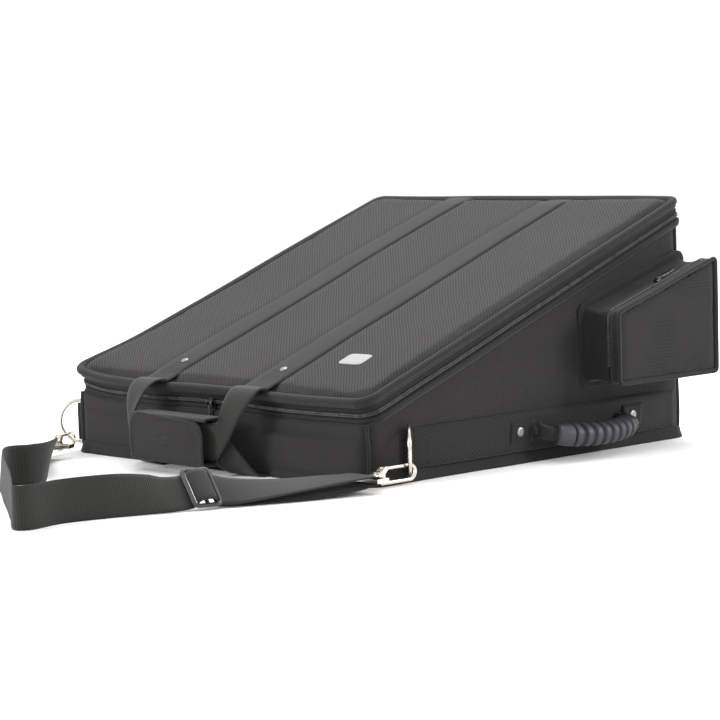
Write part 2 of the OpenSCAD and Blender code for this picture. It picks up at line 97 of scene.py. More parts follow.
def out_of_lid(points):
    """The lid's own frame back to the row frame."""
    y, z = points[..., 1], points[..., 2]
    return np.stack(
        [points[..., 0], BODY_Y + y * COS_T - z * SIN_T, BACK_H + y * SIN_T + z * COS_T], -1
    )


LID_BOX = into_lid(node_points("lid_panel"))
LID_X = LID_BOX[:, 0].max()
LID_FRONT, LID_BACK = LID_BOX[:, 1].min(), LID_BOX[:, 1].max()
LID_THICK = -LID_BOX[:, 2].min()
LID_R_FRONT, LID_R_BACK = 19 * MM, 12 * MM
COILS = into_lid(node_points("body_zip_coil"))
ZIP_MID = COILS[:, 2].max()
ZIP_FOOT = into_lid(node_points("body_piping"))[:, 2].min()
HANDLE_X = (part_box("wrap_flap")[0].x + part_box("wrap_flap")[1].x) / 2
LID_UP = out_of_lid(np.array([0, 0, 1.0])) - out_of_lid(np.zeros(3))
WEB_W = 40 * MM
WEB_T = 2 * MM
HANDLE_HALF = 79 * MM
POCKET_SLOPE = math.radians(17)
RIM_DROP = 14 * MM
JOINTS = {j["name"]: j for j in frame["joints"]}


# ---------------------------------------------------------------- array and mesh helpers

def ripple(points, scale, seed):
    """Smooth noise from about -1 to 1 at each point."""
    shift = Vector((seed * 7.31, seed * 3.17, seed * 1.93))
    flat = points.reshape(-1, 3)
    values = [noise.noise(Vector(p) * scale + shift) for p in flat]
    return np.array(values).reshape(points.shape[:-1])


def ramp(x, low, high):
    """0 before low, 1 after high, smooth between."""
    t = np.clip((x - low) / (high - low), 0, 1)
    return t * t * (3 - 2 * t)


def bell(x, middle, width):
    return np.exp(-(((x - middle) / width) ** 2))


def settle(points):
    """How the slack cloth of lid, zip and walls has settled: a lifted corner and soft waves."""
    x, y, z = points[..., 0], points[..., 1], points[..., 2]
    high = ramp(z, 0.03, 0.065)
    away = 1 - bell(x, 0.015, 0.05) * bell(y, -BODY_Y, 0.08)
    lift = 7.5 * MM * bell(x, -0.236, 0.038) * bell(y, -0.238, 0.06)
    sag = -2.5 * MM * bell(x, 0.13, 0.09) * bell(y, -0.238, 0.05)
    sag = sag - 2.2 * MM * bell(x, -0.10, 0.05) * bell(y, -0.238, 0.04)
    wave = 1.3 * MM * ripple(points * np.array([1, 1, 0.4]), 7.0, 1)
    moved = points.copy()
    moved[..., 2] += (lift + sag + wave) * high * away
    moved[..., 0] += 0.9 * MM * ripple(points, 8.0, 2) * high * away
    return moved


def smooth_line(stations, step):
    """Catmull-Rom through the stations, with points about step apart; extra columns ride along."""
    stations = np.array(stations, float)
    ghost0, ghost1 = 2 * stations[0] - stations[1], 2 * stations[-1] - stations[-2]
    pts = np.vstack([ghost0, stations, ghost1])
    out = []
    for i in range(1, len(pts) - 2):
        p0, p1, p2, p3 = pts[i - 1:i + 3]
        n = max(2, int(np.linalg.norm((p2 - p1)[:3]) / step))
        for t in np.arange(n) / n:
            out.append(0.5 * (2 * p1 + (p2 - p0) * t + (2 * p0 - 5 * p1 + 4 * p2 - p3) * t ** 2
                              + (3 * p1 - p0 - 3 * p2 + p3) * t ** 3))
    out.append(pts[-2])
    return np.array(out)


def unit(v):
    return v / np.maximum(np.linalg.norm(v, axis=-1, keepdims=True), 1e-9)


def rounded_outline(half_x, y0, y1, r_front, r_back, step=6 * MM):
    """Points and outward normals of a closed rounded rectangle, from its back right corner by the front."""
    corners = [
        (half_x - r_back, y1 - r_back, r_back, 90, 0),
        (half_x - r_front, y0 + r_front, r_front, 0, -90),
        (-half_x + r_front, y0 + r_front, r_front, -90, -180),
        (-half_x + r_back, y1 - r_back, r_back, 180, 90),
    ]
    pts, normals = [], []
    for cx, cy, r, a0, a1 in corners:
        n = max(6, int(r * math.pi / 2 / (step * 0.5)))
        arc = [math.radians(a0 + (a1 - a0) * k / n) for k in range(n + 1)]
        arc_pts = [(cx + r * math.cos(a), cy + r * math.sin(a)) for a in arc]
        arc_nor = [(math.cos(a), math.sin(a)) for a in arc]
        if pts:
            gap = math.dist(pts[-1], arc_pts[0])
            m = int(gap / step)
            pts += [tuple(np.array(pts[-1]) + (np.array(arc_pts[0]) - np.array(pts[-1])) * k / m)
                    for k in range(1, m)]
            normals += [arc_nor[0]] * (m - 1)
        pts += arc_pts
        normals += arc_nor
    gap = math.dist(pts[-1], pts[0])
    m = int(gap / step)
    last, first = np.array(pts[-1]), np.array(pts[0])
    pts += [tuple(last + (first - last) * k / m) for k in range(1, m)]
    normals += [normals[0]] * (m - 1)
    return np.array(pts), np.array(normals)


def spread(grid, axis, closed):
    """Mean running length along one axis of a grid of points, in metres."""
    steps = np.linalg.norm(np.diff(grid, axis=axis), axis=-1).mean(axis=1 - axis)
    run = np.concatenate([[0], np.cumsum(steps)])
    if closed:
        first, last = (grid[0], grid[-1]) if axis == 0 else (grid[:, 0], grid[:, -1])
        run = np.append(run, run[-1] + np.linalg.norm(first - last, axis=-1).mean())
    return run


def grid_mesh(name, grid, ring_u=False, ring_v=False, recalc=True):
    """A mesh from an (n, m) grid of points, closed along U or V, with flat ends and metre UVs."""
    n, m = grid.shape[:2]
    u, v = spread(grid, 0, ring_u), spread(grid, 1, ring_v)
    faces, uvs = [], []
    for i in range(n if ring_u else n - 1):
        for j in range(m if ring_v else m - 1):
            i1, j1 = (i + 1) % n, (j + 1) % m
            faces.append((i * m + j, i * m + j1, i1 * m + j1, i1 * m + j))
            uvs += [(u[i], v[j]), (u[i], v[j + 1]), (u[i + 1], v[j + 1]), (u[i + 1], v[j])]
    if ring_v and not ring_u:
        for row, order in ((0, 1), (n - 1, -1)):
            ring = [row * m + j for j in range(m)][::order]
            centre = grid[row].mean(axis=0)
            faces.append(tuple(ring))
            side = unit(grid[row][m // 2] - grid[row][0])
            across = np.cross(side, unit(grid[row][m // 4] - centre + 1e-6))
            flat = np.cross(across, side)
            uvs += [(float((grid[row][k % m] - centre) @ side), float((grid[row][k % m] - centre) @ flat))
                    for k in ring]
    mesh = bpy.data.meshes.new(name)
    mesh.from_pydata([tuple(p) for p in grid.reshape(-1, 3)], [], faces)
    layer = mesh.uv_layers.new(name="Metres")
    layer.data.foreach_set("uv", np.array(uvs, np.float32).ravel())
    if recalc:
        work = bmesh.new()
        work.from_mesh(mesh)
        bmesh.ops.recalc_face_normals(work, faces=work.faces)
        work.to_mesh(mesh)
        work.free()
    mesh.polygons.foreach_set("use_smooth", [True] * len(mesh.polygons))
    return mesh


def close_holes(mesh):
    """Caps every open edge loop of a mesh and turns its faces outwards."""
    work = bmesh.new()
    work.from_mesh(mesh)
    bmesh.ops.holes_fill(work, edges=[e for e in work.edges if e.is_boundary], sides=0)
    bmesh.ops.recalc_face_normals(work, faces=work.faces)
    work.to_mesh(mesh)
    work.free()


def join_meshes(name, meshes):
    """One mesh from several, keeping the UVs."""
    work = bmesh.new()
    for mesh in meshes:
        work.from_mesh(mesh)
    joined = bpy.data.meshes.new(name)
    work.to_mesh(joined)
    work.free()
    return joined


def place(name, mesh, material, body, stands_for=()):
    """Links a finished mesh, or a list of them as one, as a piece that rides on a body."""
    if isinstance(mesh, list):
        mesh = join_meshes(name, mesh)
    mesh.name = name
    obj = bpy.data.objects.new(name, mesh)
    bpy.context.scene.collection.objects.link(obj)
    mesh.materials.clear()
    mesh.materials.append(bpy.data.materials[material])
    if stands_for:
        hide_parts(*stands_for)
    if body:
        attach(obj, body)
    return obj


def sweep(name, path, out, up, profile, closed=False):
    """A closed profile of (outward, upward) points carried along a path, as a mesh."""
    profile = np.array(profile, float)
    if profile.ndim == 2:
        profile = np.repeat(profile[None], len(path), 0)
    grid = path[:, None] + out[:, None] * profile[..., :1] + up[:, None] * profile[..., 1:]
    return grid_mesh(name, grid, ring_u=closed, ring_v=True)


def circle_profile(radius, sides=10, squash=1.0):
    angles = np.arange(sides) * 2 * math.pi / sides
    return np.stack([radius * np.cos(angles), radius * squash * np.sin(angles)], -1)


def tube(name, path, radius, sides=10, closed=False):
    """A round tube with frames carried along the path without twist."""
    path = np.array(path, float)
    tangent = unit(np.gradient(path, axis=0))
    if closed:
        tangent = unit(np.roll(path, -1, 0) - np.roll(path, 1, 0))
    ref = np.array([0, 0, 1.0]) if abs(tangent[0][2]) < 0.9 else np.array([0, 1.0, 0])
    outs = []
    out = unit(np.cross(tangent[0], ref))
    for t in tangent:
        out = unit(out - t * (out @ t))
        outs.append(out)
    outs = np.array(outs)
    radii = np.broadcast_to(radius, (len(path),))
    profile = circle_profile(1.0, sides)[None] * radii[:, None, None]
    return sweep(name, path, outs, np.cross(tangent, outs), profile, closed)


def webbing(name, low, high, thick=WEB_T, across=8, waver=0.0):
    """A band of webbing between two edge lines, with thin woven edges."""
    low, high = np.array(low, float), np.array(high, float)
    middle = (low + high) / 2
    side = unit(high - low)
    face = unit(np.cross(np.gradient(middle, axis=0), side))
    share = np.linspace(0, 1, across + 1)
    swell = 1 - 0.45 * np.abs(2 * share - 1) ** 6
    rows = low[:, None] + (high - low)[:, None] * share[None, :, None]
    if waver:
        rows = rows + face[:, None] * (waver * ripple(rows, 30.0, 5))[..., None]
    half = face[:, None] * (thick / 2 * swell)[None, :, None]
    grid = np.concatenate([rows + half, (rows - half)[:, ::-1]], 1)
    return grid_mesh(name, grid, ring_v=True)


def block(name, size, centre, bevel, turn=None, segments=3):
    """A bevelled box, turned by a matrix and moved to its centre."""
    work = bmesh.new()
    bmesh.ops.create_cube(work, size=1)
    bmesh.ops.scale(work, vec=Vector(size), verts=work.verts)
    bmesh.ops.bevel(work, geom=work.edges[:], offset=bevel, segments=segments, affect="EDGES", profile=0.5)
    mesh = bpy.data.meshes.new(name)
    work.to_mesh(mesh)
    work.free()
    mesh.transform(Matrix.Translation(Vector(centre)) @ (turn or Matrix.Identity(4)))
    mesh.polygons.foreach_set("use_smooth", [True] * len(mesh.polygons))
    return mesh


# ---------------------------------------------------------------- materials

class Shader:
    """A short way to write a material's node tree."""

    def __init__(self, name):
        self.material = bpy.data.materials.new(name)
        self.material.use_nodes = True
        self.tree = self.material.node_tree
        self.bsdf = self.tree.nodes["Principled BSDF"]

    def node(self, kind, inputs=(), **settings):
        made = self.tree.nodes.new(kind)
        for key, value in settings.items():
            setattr(made, key, value)
        for key, value in dict(inputs).items():
            if isinstance(value, bpy.types.NodeSocket):
                self.tree.links.new(value, made.inputs[key])
            else:
                made.inputs[key].default_value = value
        return made

    def math(self, operation, a, b=0.0):
        return self.node("ShaderNodeMath", {0: a, 1: b}, operation=operation).outputs[0]

    def noise(self, vector, scale, detail=3.0, roughness=0.5):
        made = self.node("ShaderNodeTexNoise", {"Vector": vector, "Scale": scale, "Detail": detail,
                                                "Roughness": roughness})
        return made.outputs["Fac"]

    def coords(self, use_uv):
        source = self.node("ShaderNodeTexCoord")
        return source.outputs["UV" if use_uv else "Object"]

    def wave(self, value, pitch):
        """Sine of a length, through zero once for each pitch."""
        return self.math("SINE", self.math("MULTIPLY", value, math.pi / pitch))

    def blend_colour(self, factor, dark, light):
        return self.node("ShaderNodeMix", {0: factor, 6: (*dark, 1), 7: (*light, 1)},
                         data_type="RGBA").outputs[2]

    def bump(self, height, strength, distance, onto=None):
        inputs = {"Height": height, "Strength": strength, "Distance": distance}
        if onto is not None:
            inputs["Normal"] = onto
        return self.node("ShaderNodeBump", inputs).outputs["Normal"]

    def finish(self, colour, normal, roughness, **sockets):
        links = self.tree.links
        if isinstance(colour, bpy.types.NodeSocket):
            links.new(colour, self.bsdf.inputs["Base Color"])
        else:
            self.bsdf.inputs["Base Color"].default_value = (*colour, 1)
        if normal is not None:
            links.new(normal, self.bsdf.inputs["Normal"])
        if isinstance(roughness, bpy.types.NodeSocket):
            links.new(roughness, self.bsdf.inputs["Roughness"])
        else:
            self.bsdf.inputs["Roughness"].default_value = roughness
        for key, value in sockets.items():
            self.bsdf.inputs[key.replace("_", " ")].default_value = value
        return self.material


def cloth_material(name, colour, pattern, pitch, depth, use_uv=True, roughness=0.85, sheen=0.1,
                   tilt=0.0, relief_shade_and_fleck=0.5):
    """Woven cloth: plain basket, ribbed, or honeycomb, with blotches, flecks and pile; the weave's relief is
    painted into its colour as shade in the hollows and light on the raised threads.
    """
    s = Shader(name)
    vector = s.coords(use_uv)
    if tilt:
        vector = s.node("ShaderNodeMapping", {"Vector": vector, "Rotation": (-tilt, 0, 0)}).outputs[0]
    flow = s.noise(vector, 14.0, 2.0)
    bent = s.node("ShaderNodeVectorMath", {0: vector, 1: s.node(
        "ShaderNodeCombineXYZ", {0: s.math("MULTIPLY", flow, 0.004), 1: s.math("MULTIPLY", flow, 0.004)}
    ).outputs[0]}, operation="ADD").outputs[0]
    axes = s.node("ShaderNodeSeparateXYZ", {0: bent})
    a, b = axes.outputs[0], axes.outputs[1]
    if pattern == "basket":
        wa, wb = s.wave(a, pitch), s.wave(b, pitch)
        over = s.math("GREATER_THAN", s.math("MULTIPLY", wa, wb), 0.0)
        pa, pb = s.math("ABSOLUTE", wa), s.math("ABSOLUTE", wb)
        thread = s.math("ADD", pb, s.math("MULTIPLY", over, s.math("SUBTRACT", pa, pb)))
        lean = s.math("MULTIPLY", over, 0.35)
        height = s.math("SUBTRACT", thread, lean)
    elif pattern == "rib":
        ribs = s.math("ABSOLUTE", s.wave(a, pitch))
        ends = s.math("ABSOLUTE", s.wave(s.math("ADD", b, s.math("MULTIPLY", a, 0.5)), pitch * 0.8))
        height = s.math("ADD", s.math("MULTIPLY", ribs, 0.75), s.math("MULTIPLY", ends, 0.25))
    else:
        plus = s.math("ABSOLUTE", s.wave(s.math("ADD", a, b), pitch))
        minus = s.math("ABSOLUTE", s.wave(s.math("SUBTRACT", a, b), pitch))
        height = s.math("MULTIPLY", plus, minus)
    fleck = s.noise(vector, 1400.0, 2.0, 0.7)
    blotch = s.noise(vector, 9.0, 4.0)
    # A mottle that lightens and darkens the tone at random and also roughens the bump.
    mottle = s.noise(vector, 55.0, 5.0, 0.6)
    # Painted shade and light: the weave's height darkens the colour in its hollows and lightens it on the
    # raised threads; the fleck is the cloth's own speckle.
    tone = s.math("ADD", s.math("MULTIPLY", height, relief_shade_and_fleck * 0.6),
                  s.math("MULTIPLY", fleck, relief_shade_and_fleck * 0.4))
    tone = s.math("ADD", tone, s.math("MULTIPLY", s.math("SUBTRACT", blotch, 0.5), 0.45))
    tone = s.math("ADD", tone, s.math("MULTIPLY", s.math("SUBTRACT", mottle, 0.5), 0.3))
    tone = s.node("ShaderNodeClamp", {0: tone}).outputs[0]
    dark = tuple(c * 0.45 for c in colour)
    light = tuple(min(1.0, c * 1.9) for c in colour)
    shade = s.blend_colour(tone, dark, light)
    normal = s.bump(height, 0.55, depth)
    normal = s.bump(mottle, 0.25, depth * 1.6, normal)
    rough = s.math("ADD", s.math("MULTIPLY", blotch, 0.12), roughness - 0.06)
    return s.finish(shade, normal, rough, Sheen_Weight=sheen, Sheen_Roughness=0.45,
                    Sheen_Tint=(0.9, 0.88, 0.9, 1), Specular_IOR_Level=0.35)


def metal_material(name, colour, roughness, depth=0.00008, metallic=1.0, coat=0.0):
    s = Shader(name)
    vector = s.coords(False)
    haze = s.noise(vector, 160.0, 4.0)
    scratch = s.noise(s.node("ShaderNodeMapping", {"Vector": vector, "Scale": (1, 14, 1)}).outputs[0],
                      420.0, 2.0)
    shade = s.blend_colour(haze, tuple(c * 0.86 for c in colour), colour)
    rough = s.math("ADD", s.math("MULTIPLY", haze, 0.16), roughness - 0.04)
    return s.finish(shade, s.bump(scratch, 0.25, depth), rough, Metallic=metallic, Coat_Weight=coat)


def plastic_material(name, colour, roughness, depth):
    s = Shader(name)
    vector = s.coords(False)
    grain = s.noise(vector, 900.0, 3.0)
    wear = s.noise(vector, 60.0, 4.0)
    shade = s.blend_colour(wear, tuple(c * 0.8 for c in colour), tuple(c * 1.15 for c in colour))
    rough = s.math("ADD", s.math("MULTIPLY", wear, 0.2), roughness - 0.1)
    return s.finish(shade, s.bump(grain, 0.4, depth), rough)


# ---------------------------------------------------------------- repeated details by Geometry Nodes

def repeat_tree():
    """A node tree that sets beads along edge lines, for stitches and zip coil."""
    tree = bpy.data.node_groups.new("BeadsAlongLines", "GeometryNodeTree")
    face = tree.interface
    face.new_socket("Geometry", in_out="INPUT", socket_type="NodeSocketGeometry")
    for label, default in (("Pitch", 3 * MM), ("Bead Length", 2 * MM), ("Bead Width", MM),
                           ("Bead Height", MM)):
        made = face.new_socket(label, in_out="INPUT", socket_type="NodeSocketFloat")
        made.default_value = default
    face.new_socket("Finish", in_out="INPUT", socket_type="NodeSocketMaterial")
    face.new_socket("Geometry", in_out="OUTPUT", socket_type="NodeSocketGeometry")
    nodes, links = tree.nodes, tree.links
    start, end = nodes.new("NodeGroupInput"), nodes.new("NodeGroupOutput")
    to_curve = nodes.new("GeometryNodeMeshToCurve")
    resample = nodes.new("GeometryNodeResampleCurve")
    resample.mode = "LENGTH"
    bead = nodes.new("GeometryNodeMeshUVSphere")
    bead.inputs["Segments"].default_value = 6
    bead.inputs["Rings"].default_value = 4
    bead.inputs["Radius"].default_value = 0.5
    tangent = nodes.new("GeometryNodeInputTangent")
    facing = nodes.new("GeometryNodeInputNamedAttribute")
    facing.data_type = "FLOAT_VECTOR"
    facing.inputs["Name"].default_value = "facing"
    along = nodes.new("FunctionNodeAlignRotationToVector")
    along.axis = "X"
    off = nodes.new("FunctionNodeAlignRotationToVector")
    off.axis = "Z"
    off.pivot_axis = "X"
    size = nodes.new("ShaderNodeCombineXYZ")
    scatter = nodes.new("GeometryNodeInstanceOnPoints")
    real = nodes.new("GeometryNodeRealizeInstances")
    smooth = nodes.new("GeometryNodeSetShadeSmooth")
    finish = nodes.new("GeometryNodeSetMaterial")
    links.new(start.outputs["Geometry"], to_curve.inputs[0])
    links.new(to_curve.outputs[0], resample.inputs["Curve"])
    links.new(start.outputs["Pitch"], resample.inputs["Length"])
    links.new(resample.outputs[0], scatter.inputs["Points"])
    links.new(bead.outputs["Mesh"], scatter.inputs["Instance"])
    links.new(tangent.outputs[0], along.inputs["Vector"])
    links.new(along.outputs[0], off.inputs["Rotation"])
    links.new(facing.outputs["Attribute"], off.inputs["Vector"])
    links.new(off.outputs[0], scatter.inputs["Rotation"])
    for i, label in enumerate(("Bead Length", "Bead Width", "Bead Height")):
        links.new(start.outputs[label], size.inputs[i])
    links.new(size.outputs[0], scatter.inputs["Scale"])
    links.new(scatter.outputs[0], real.inputs[0])
    links.new(real.outputs[0], smooth.inputs[0])
    links.new(smooth.outputs[0], finish.inputs["Geometry"])
    links.new(start.outputs["Finish"], finish.inputs["Material"])
    links.new(finish.outputs[0], end.inputs[0])
    return tree


def beads(name, lines, pitch, size, material, body, stands_for=()):
    """Beads along lines of (points, facing) pairs, as one plain mesh that rides on a body."""
    tree = bpy.data.node_groups.get("BeadsAlongLines") or repeat_tree()
    verts, edges, facing = [], [], []
    for points, normals in lines:
        first = len(verts)
        verts += [tuple(p) for p in points]
        facing += [tuple(n) for n in np.broadcast_to(normals, np.shape(points))]
        edges += [(first + i, first + i + 1) for i in range(len(points) - 1)]
    mesh = bpy.data.meshes.new(name + "_lines")
    mesh.from_pydata(verts, edges, [])
    attribute = mesh.attributes.new("facing", "FLOAT_VECTOR", "POINT")
    attribute.data.foreach_set("vector", np.array(facing, np.float32).ravel())
    holder = bpy.data.objects.new(name + "_lines", mesh)
    bpy.context.scene.collection.objects.link(holder)
    modifier = holder.modifiers.new("Beads", "NODES")
    modifier.node_group = tree
    wanted = {"Pitch": pitch, "Bead Length": size[0], "Bead Width": size[1], "Bead Height": size[2],
              "Finish": bpy.data.materials[material]}
    for item in tree.interface.items_tree:
        if item.item_type == "SOCKET" and item.in_out == "INPUT" and item.name in wanted:
            modifier[item.identifier] = wanted[item.name]
    graph = bpy.context.evaluated_depsgraph_get()
    made = bpy.data.meshes.new_from_object(holder.evaluated_get(graph))
    bpy.data.objects.remove(holder)
    if not len(made.polygons):
        raise RuntimeError(f"{name} came out empty")
    return place(name, made, material, body, stands_for)


def stitches(name, rows, body, share=1.0, size=(2.3, 0.6, 0.5)):
    """Rows of thread: share is the part of the usual stitch pitch, size is one stitch in millimetres."""
    return beads(name, rows, size_settings().stitch * share, tuple(v * MM for v in size), "Thread", body)


def closed_row(row):
    """A row of points with its first point again at its end."""
    return np.vstack([row, row[:1]])


# ---------------------------------------------------------------- cloth simulation

def inflate(name, mesh, voxel, pressure, cap, frames=20):
    """The mesh as a stuffed piece: remeshed, blown up by Cloth, with each point's move capped."""
    scene = bpy.context.scene
    obj = bpy.data.objects.new(name + "_work", mesh)
    scene.collection.objects.link(obj)
    remesh = obj.modifiers.new("Remesh", "REMESH")
    remesh.mode = "VOXEL"
    remesh.voxel_size = voxel
    graph = bpy.context.evaluated_depsgraph_get()
    even = bpy.data.meshes.new_from_object(obj.evaluated_get(graph))
    obj.modifiers.clear()
    obj.data = even
    before = np.array([v.co for v in even.vertices], float)
    cloth = obj.modifiers.new("Cloth", "CLOTH")
    cloth.settings.use_pressure = True
    cloth.settings.uniform_pressure_force = pressure
    cloth.settings.effector_weights.gravity = 0
    cloth.settings.quality = 4
    cloth.settings.mass = 0.3
    cloth.settings.tension_stiffness = 15
    cloth.settings.compression_stiffness = 15
    cloth.settings.bending_stiffness = 2
    cloth.point_cache.frame_end = frames
    for number in range(1, frames + 1):
        scene.frame_set(number)
    graph = bpy.context.evaluated_depsgraph_get()
    after = np.array([v.co for v in obj.evaluated_get(graph).data.vertices], float)
    obj.modifiers.clear()
    scene.frame_set(1)
    move = after - before
    move -= move.mean(axis=0)
    length = np.linalg.norm(move, axis=1, keepdims=True)
    move *= np.minimum(1.0, cap / np.maximum(length, 1e-9))
    before = before + move
    even.vertices.foreach_set("co", before.astype(np.float32).ravel())
    subdivide = obj.modifiers.new("Subdivision", "SUBSURF")
    subdivide.levels = 1
    subdivide.render_levels = 1
    graph = bpy.context.evaluated_depsgraph_get()
    final = bpy.data.meshes.new_from_object(obj.evaluated_get(graph))
    bpy.data.objects.remove(obj)
    final.polygons.foreach_set("use_smooth", [True] * len(final.polygons))
    return final


def get_points(mesh):
    return np.array([v.co for v in mesh.vertices], float)


def set_points(mesh, points):
    mesh.vertices.foreach_set("co", points.astype(np.float32).ravel())
    mesh.update()


# ---------------------------------------------------------------- settings a user may change

def colour_setting(name, description, default):
    return FloatVectorProperty(name=name, description=description, default=default, subtype="COLOR", min=0,
                               max=1)


def length_setting(name, description, default, low, high):
    return FloatProperty(name=name, description=description, default=default * MM, min=low * MM,
                         max=high * MM,
                         subtype="DISTANCE", unit="LENGTH")


class BagFinish(bpy.types.PropertyGroup):
    """Colours of the bag's cloth, webbing and fittings."""

    cloth: colour_setting("Cloth", "Colour of the woven outer cloth", (0.0098, 0.0082, 0.0084))
    binding: colour_setting("Binding", "Colour of the folded edge tape", (0.0066, 0.0061, 0.0064))
    webbing: colour_setting("Webbing", "Colour of the straps", (0.0066, 0.0063, 0.0054))
    lining: colour_setting("Lining", "Colour of the inner cloth", (0.010, 0.010, 0.011))
    nickel: colour_setting("Nickel", "Colour of rings and hooks", (0.78, 0.72, 0.64))
    grip: colour_setting("Grip", "Colour of the moulded grip", (0.030, 0.032, 0.036))


class BagSizes(bpy.types.PropertyGroup):
    """Sizes of the details that dress the frame."""

    weave: length_setting("Weave pitch", "Spacing of the outer cloth's threads", 2.1, 0.5, 5)
    crown: length_setting("Crown", "How far the padded walls stand out between seams", 3.2, 0, 8)
    stitch: length_setting("Stitch pitch", "Spacing of the stitches", 3.4, 2, 8)
    tooth: length_setting("Zip pitch", "Spacing of the loops of zip coil", 1.9, 1, 4)


def finish_settings():
    return bpy.context.scene.bag_finish


def size_settings():
    return bpy.context.scene.bag_sizes


# ---------------------------------------------------------------- operators

class BAG_OT_finishes(bpy.types.Operator):
    """Makes the materials: woven cloth, bindings, webbing, zip, metal and plastic"""

    bl_idname = "bag.finishes"
    bl_label = "Finishes"

    def execute(self, context):
        look, size = finish_settings(), size_settings()
        outer = tuple(look.cloth)
        web = tuple(look.webbing)
        cloth_material("Body Cloth", outer, "basket", size.weave, 0.6 * MM, relief_shade_and_fleck=0.95)
        cloth_material("Lid Cloth", outer, "basket", size.weave, 0.6 * MM, use_uv=False, tilt=TILT,
                       relief_shade_and_fleck=0.95)
        cloth_material("Pocket Cloth", outer, "basket", size.weave * 0.7, 0.35 * MM, relief_shade_and_fleck=0.7)
        cloth_material("Pocket Face Cloth", outer, "basket", size.weave * 0.8, 0.25 * MM, use_uv=False,
                       tilt=math.pi / 2, relief_shade_and_fleck=0.6)
        cloth_material("Edge Binding", tuple(look.binding), "rib", 0.9 * MM, 0.2 * MM, roughness=0.8)
        cloth_material("Inner Lining", tuple(look.lining), "basket", 0.5 * MM, 0.1 * MM, roughness=0.7)
        cloth_material("Zip Tape", (0.0035, 0.0035, 0.004), "rib", 0.8 * MM, 0.15 * MM, roughness=0.75,
                       sheen=0.02)
        cloth_material("Ribbed Webbing", web, "rib", 2.4 * MM, 0.7 * MM, roughness=0.72, sheen=0.12,
                       relief_shade_and_fleck=1.2)
        cloth_material("Sewn Webbing", tuple(c * 0.6 for c in web), "rib", 1.9 * MM, 0.35 * MM, roughness=0.8,
                       relief_shade_and_fleck=0.6)
        cloth_material("Honeycomb Webbing", tuple(c * 0.55 for c in web), "honeycomb", 4.2 * MM, 0.9 * MM,
                       roughness=0.75, relief_shade_and_fleck=1.0)
        cloth_material("Thread", (0.012, 0.0115, 0.011), "rib", 0.5 * MM, 0.1 * MM, use_uv=False,
                       roughness=0.6)
        # The coil's grey is lighter than its own black: painted shine on the teeth.
        plastic_material("Zip Coil", (0.11, 0.11, 0.112), 0.28, 0.02 * MM)
        metal_material("Zip Enamel", (0.010, 0.010, 0.011), 0.22, metallic=0.0, coat=0.6)
        metal_material("Nickel Plate", tuple(look.nickel), 0.16)
        metal_material("Rivet Steel", (0.30, 0.30, 0.30), 0.4)
        plastic_material("Moulded Grip", tuple(look.grip), 0.5, 0.05 * MM)
        plastic_material("Moulded Slide", (0.022, 0.024, 0.027), 0.38, 0.04 * MM)
        plastic_material("Pale Label", (0.34, 0.34, 0.33), 0.6, 0.05 * MM)
        return {"FINISHED"}


def wall_top(y):
    """Height of the body's upper edge, under the zip."""
    return BACK_H + (y - BODY_Y) * math.tan(TILT) + ZIP_FOOT / COS_T


def wall_grid(inset, foot, extra_top, rows, crown):
    """The body's wall as rings from its foot up to under the zip, crowned between its seams."""
    path, normals = rounded_outline(BODY_X, -BODY_Y, BODY_Y, BODY_R, BODY_R)
    path = path - normals * inset
    top = wall_top(path[:, 1]) + extra_top
    back = path[:, 1] > BODY_Y - inset - 2 * MM
    top = np.where(back, BACK_H - RIM_DROP, top)
    levels = np.linspace(0, 1, rows)
    height = foot + (top[:, None] - foot) * levels[None]
    grid = np.stack([np.repeat(path[:, :1], rows, 1), np.repeat(path[:, 1:], rows, 1), height], -1)
    if crown:
        long_side = np.abs(normals[:, 0]) > 0.7
        along = np.where(long_side, np.abs(path[:, 1]) / BODY_Y, np.abs(path[:, 0]) / BODY_X)
        puff = (1 - along ** 10)[:, None] * (1 - np.abs(2 * levels - 1) ** 5)[None]
        folds = ripple(grid * np.array([1, 1, 1.6]), 8.0, 3) * 2.3 * MM + ripple(grid, 24.0, 4) * 0.7 * MM
        slump = 0.8 * MM * np.sin(levels * math.pi)[None] * (1 - along[:, None] ** 4)
        height = grid[..., 2]
        beside = ramp(height, 60 * MM, 90 * MM) * ramp(60 * MM - grid[..., 1], 0, 40 * MM)
        room = np.where(long_side[:, None], beside, ramp(height, 14 * MM, 30 * MM))
        creases = ripple(grid * np.array([1, 1, 0.7]), 16.0, 5) * 2.4 * MM * room
        out = crown * puff * 0.8 + slump + (folds + creases) * puff
        grid[..., 0] += out * normals[:, :1]
        grid[..., 1] += out * normals[:, 1:]
        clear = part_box("zip_pull_left")[1].y + 0.9 * MM
        grid[..., 1] = np.where(grid[..., 2] > 45 * MM, np.maximum(grid[..., 1], clear), grid[..., 1])
    return grid


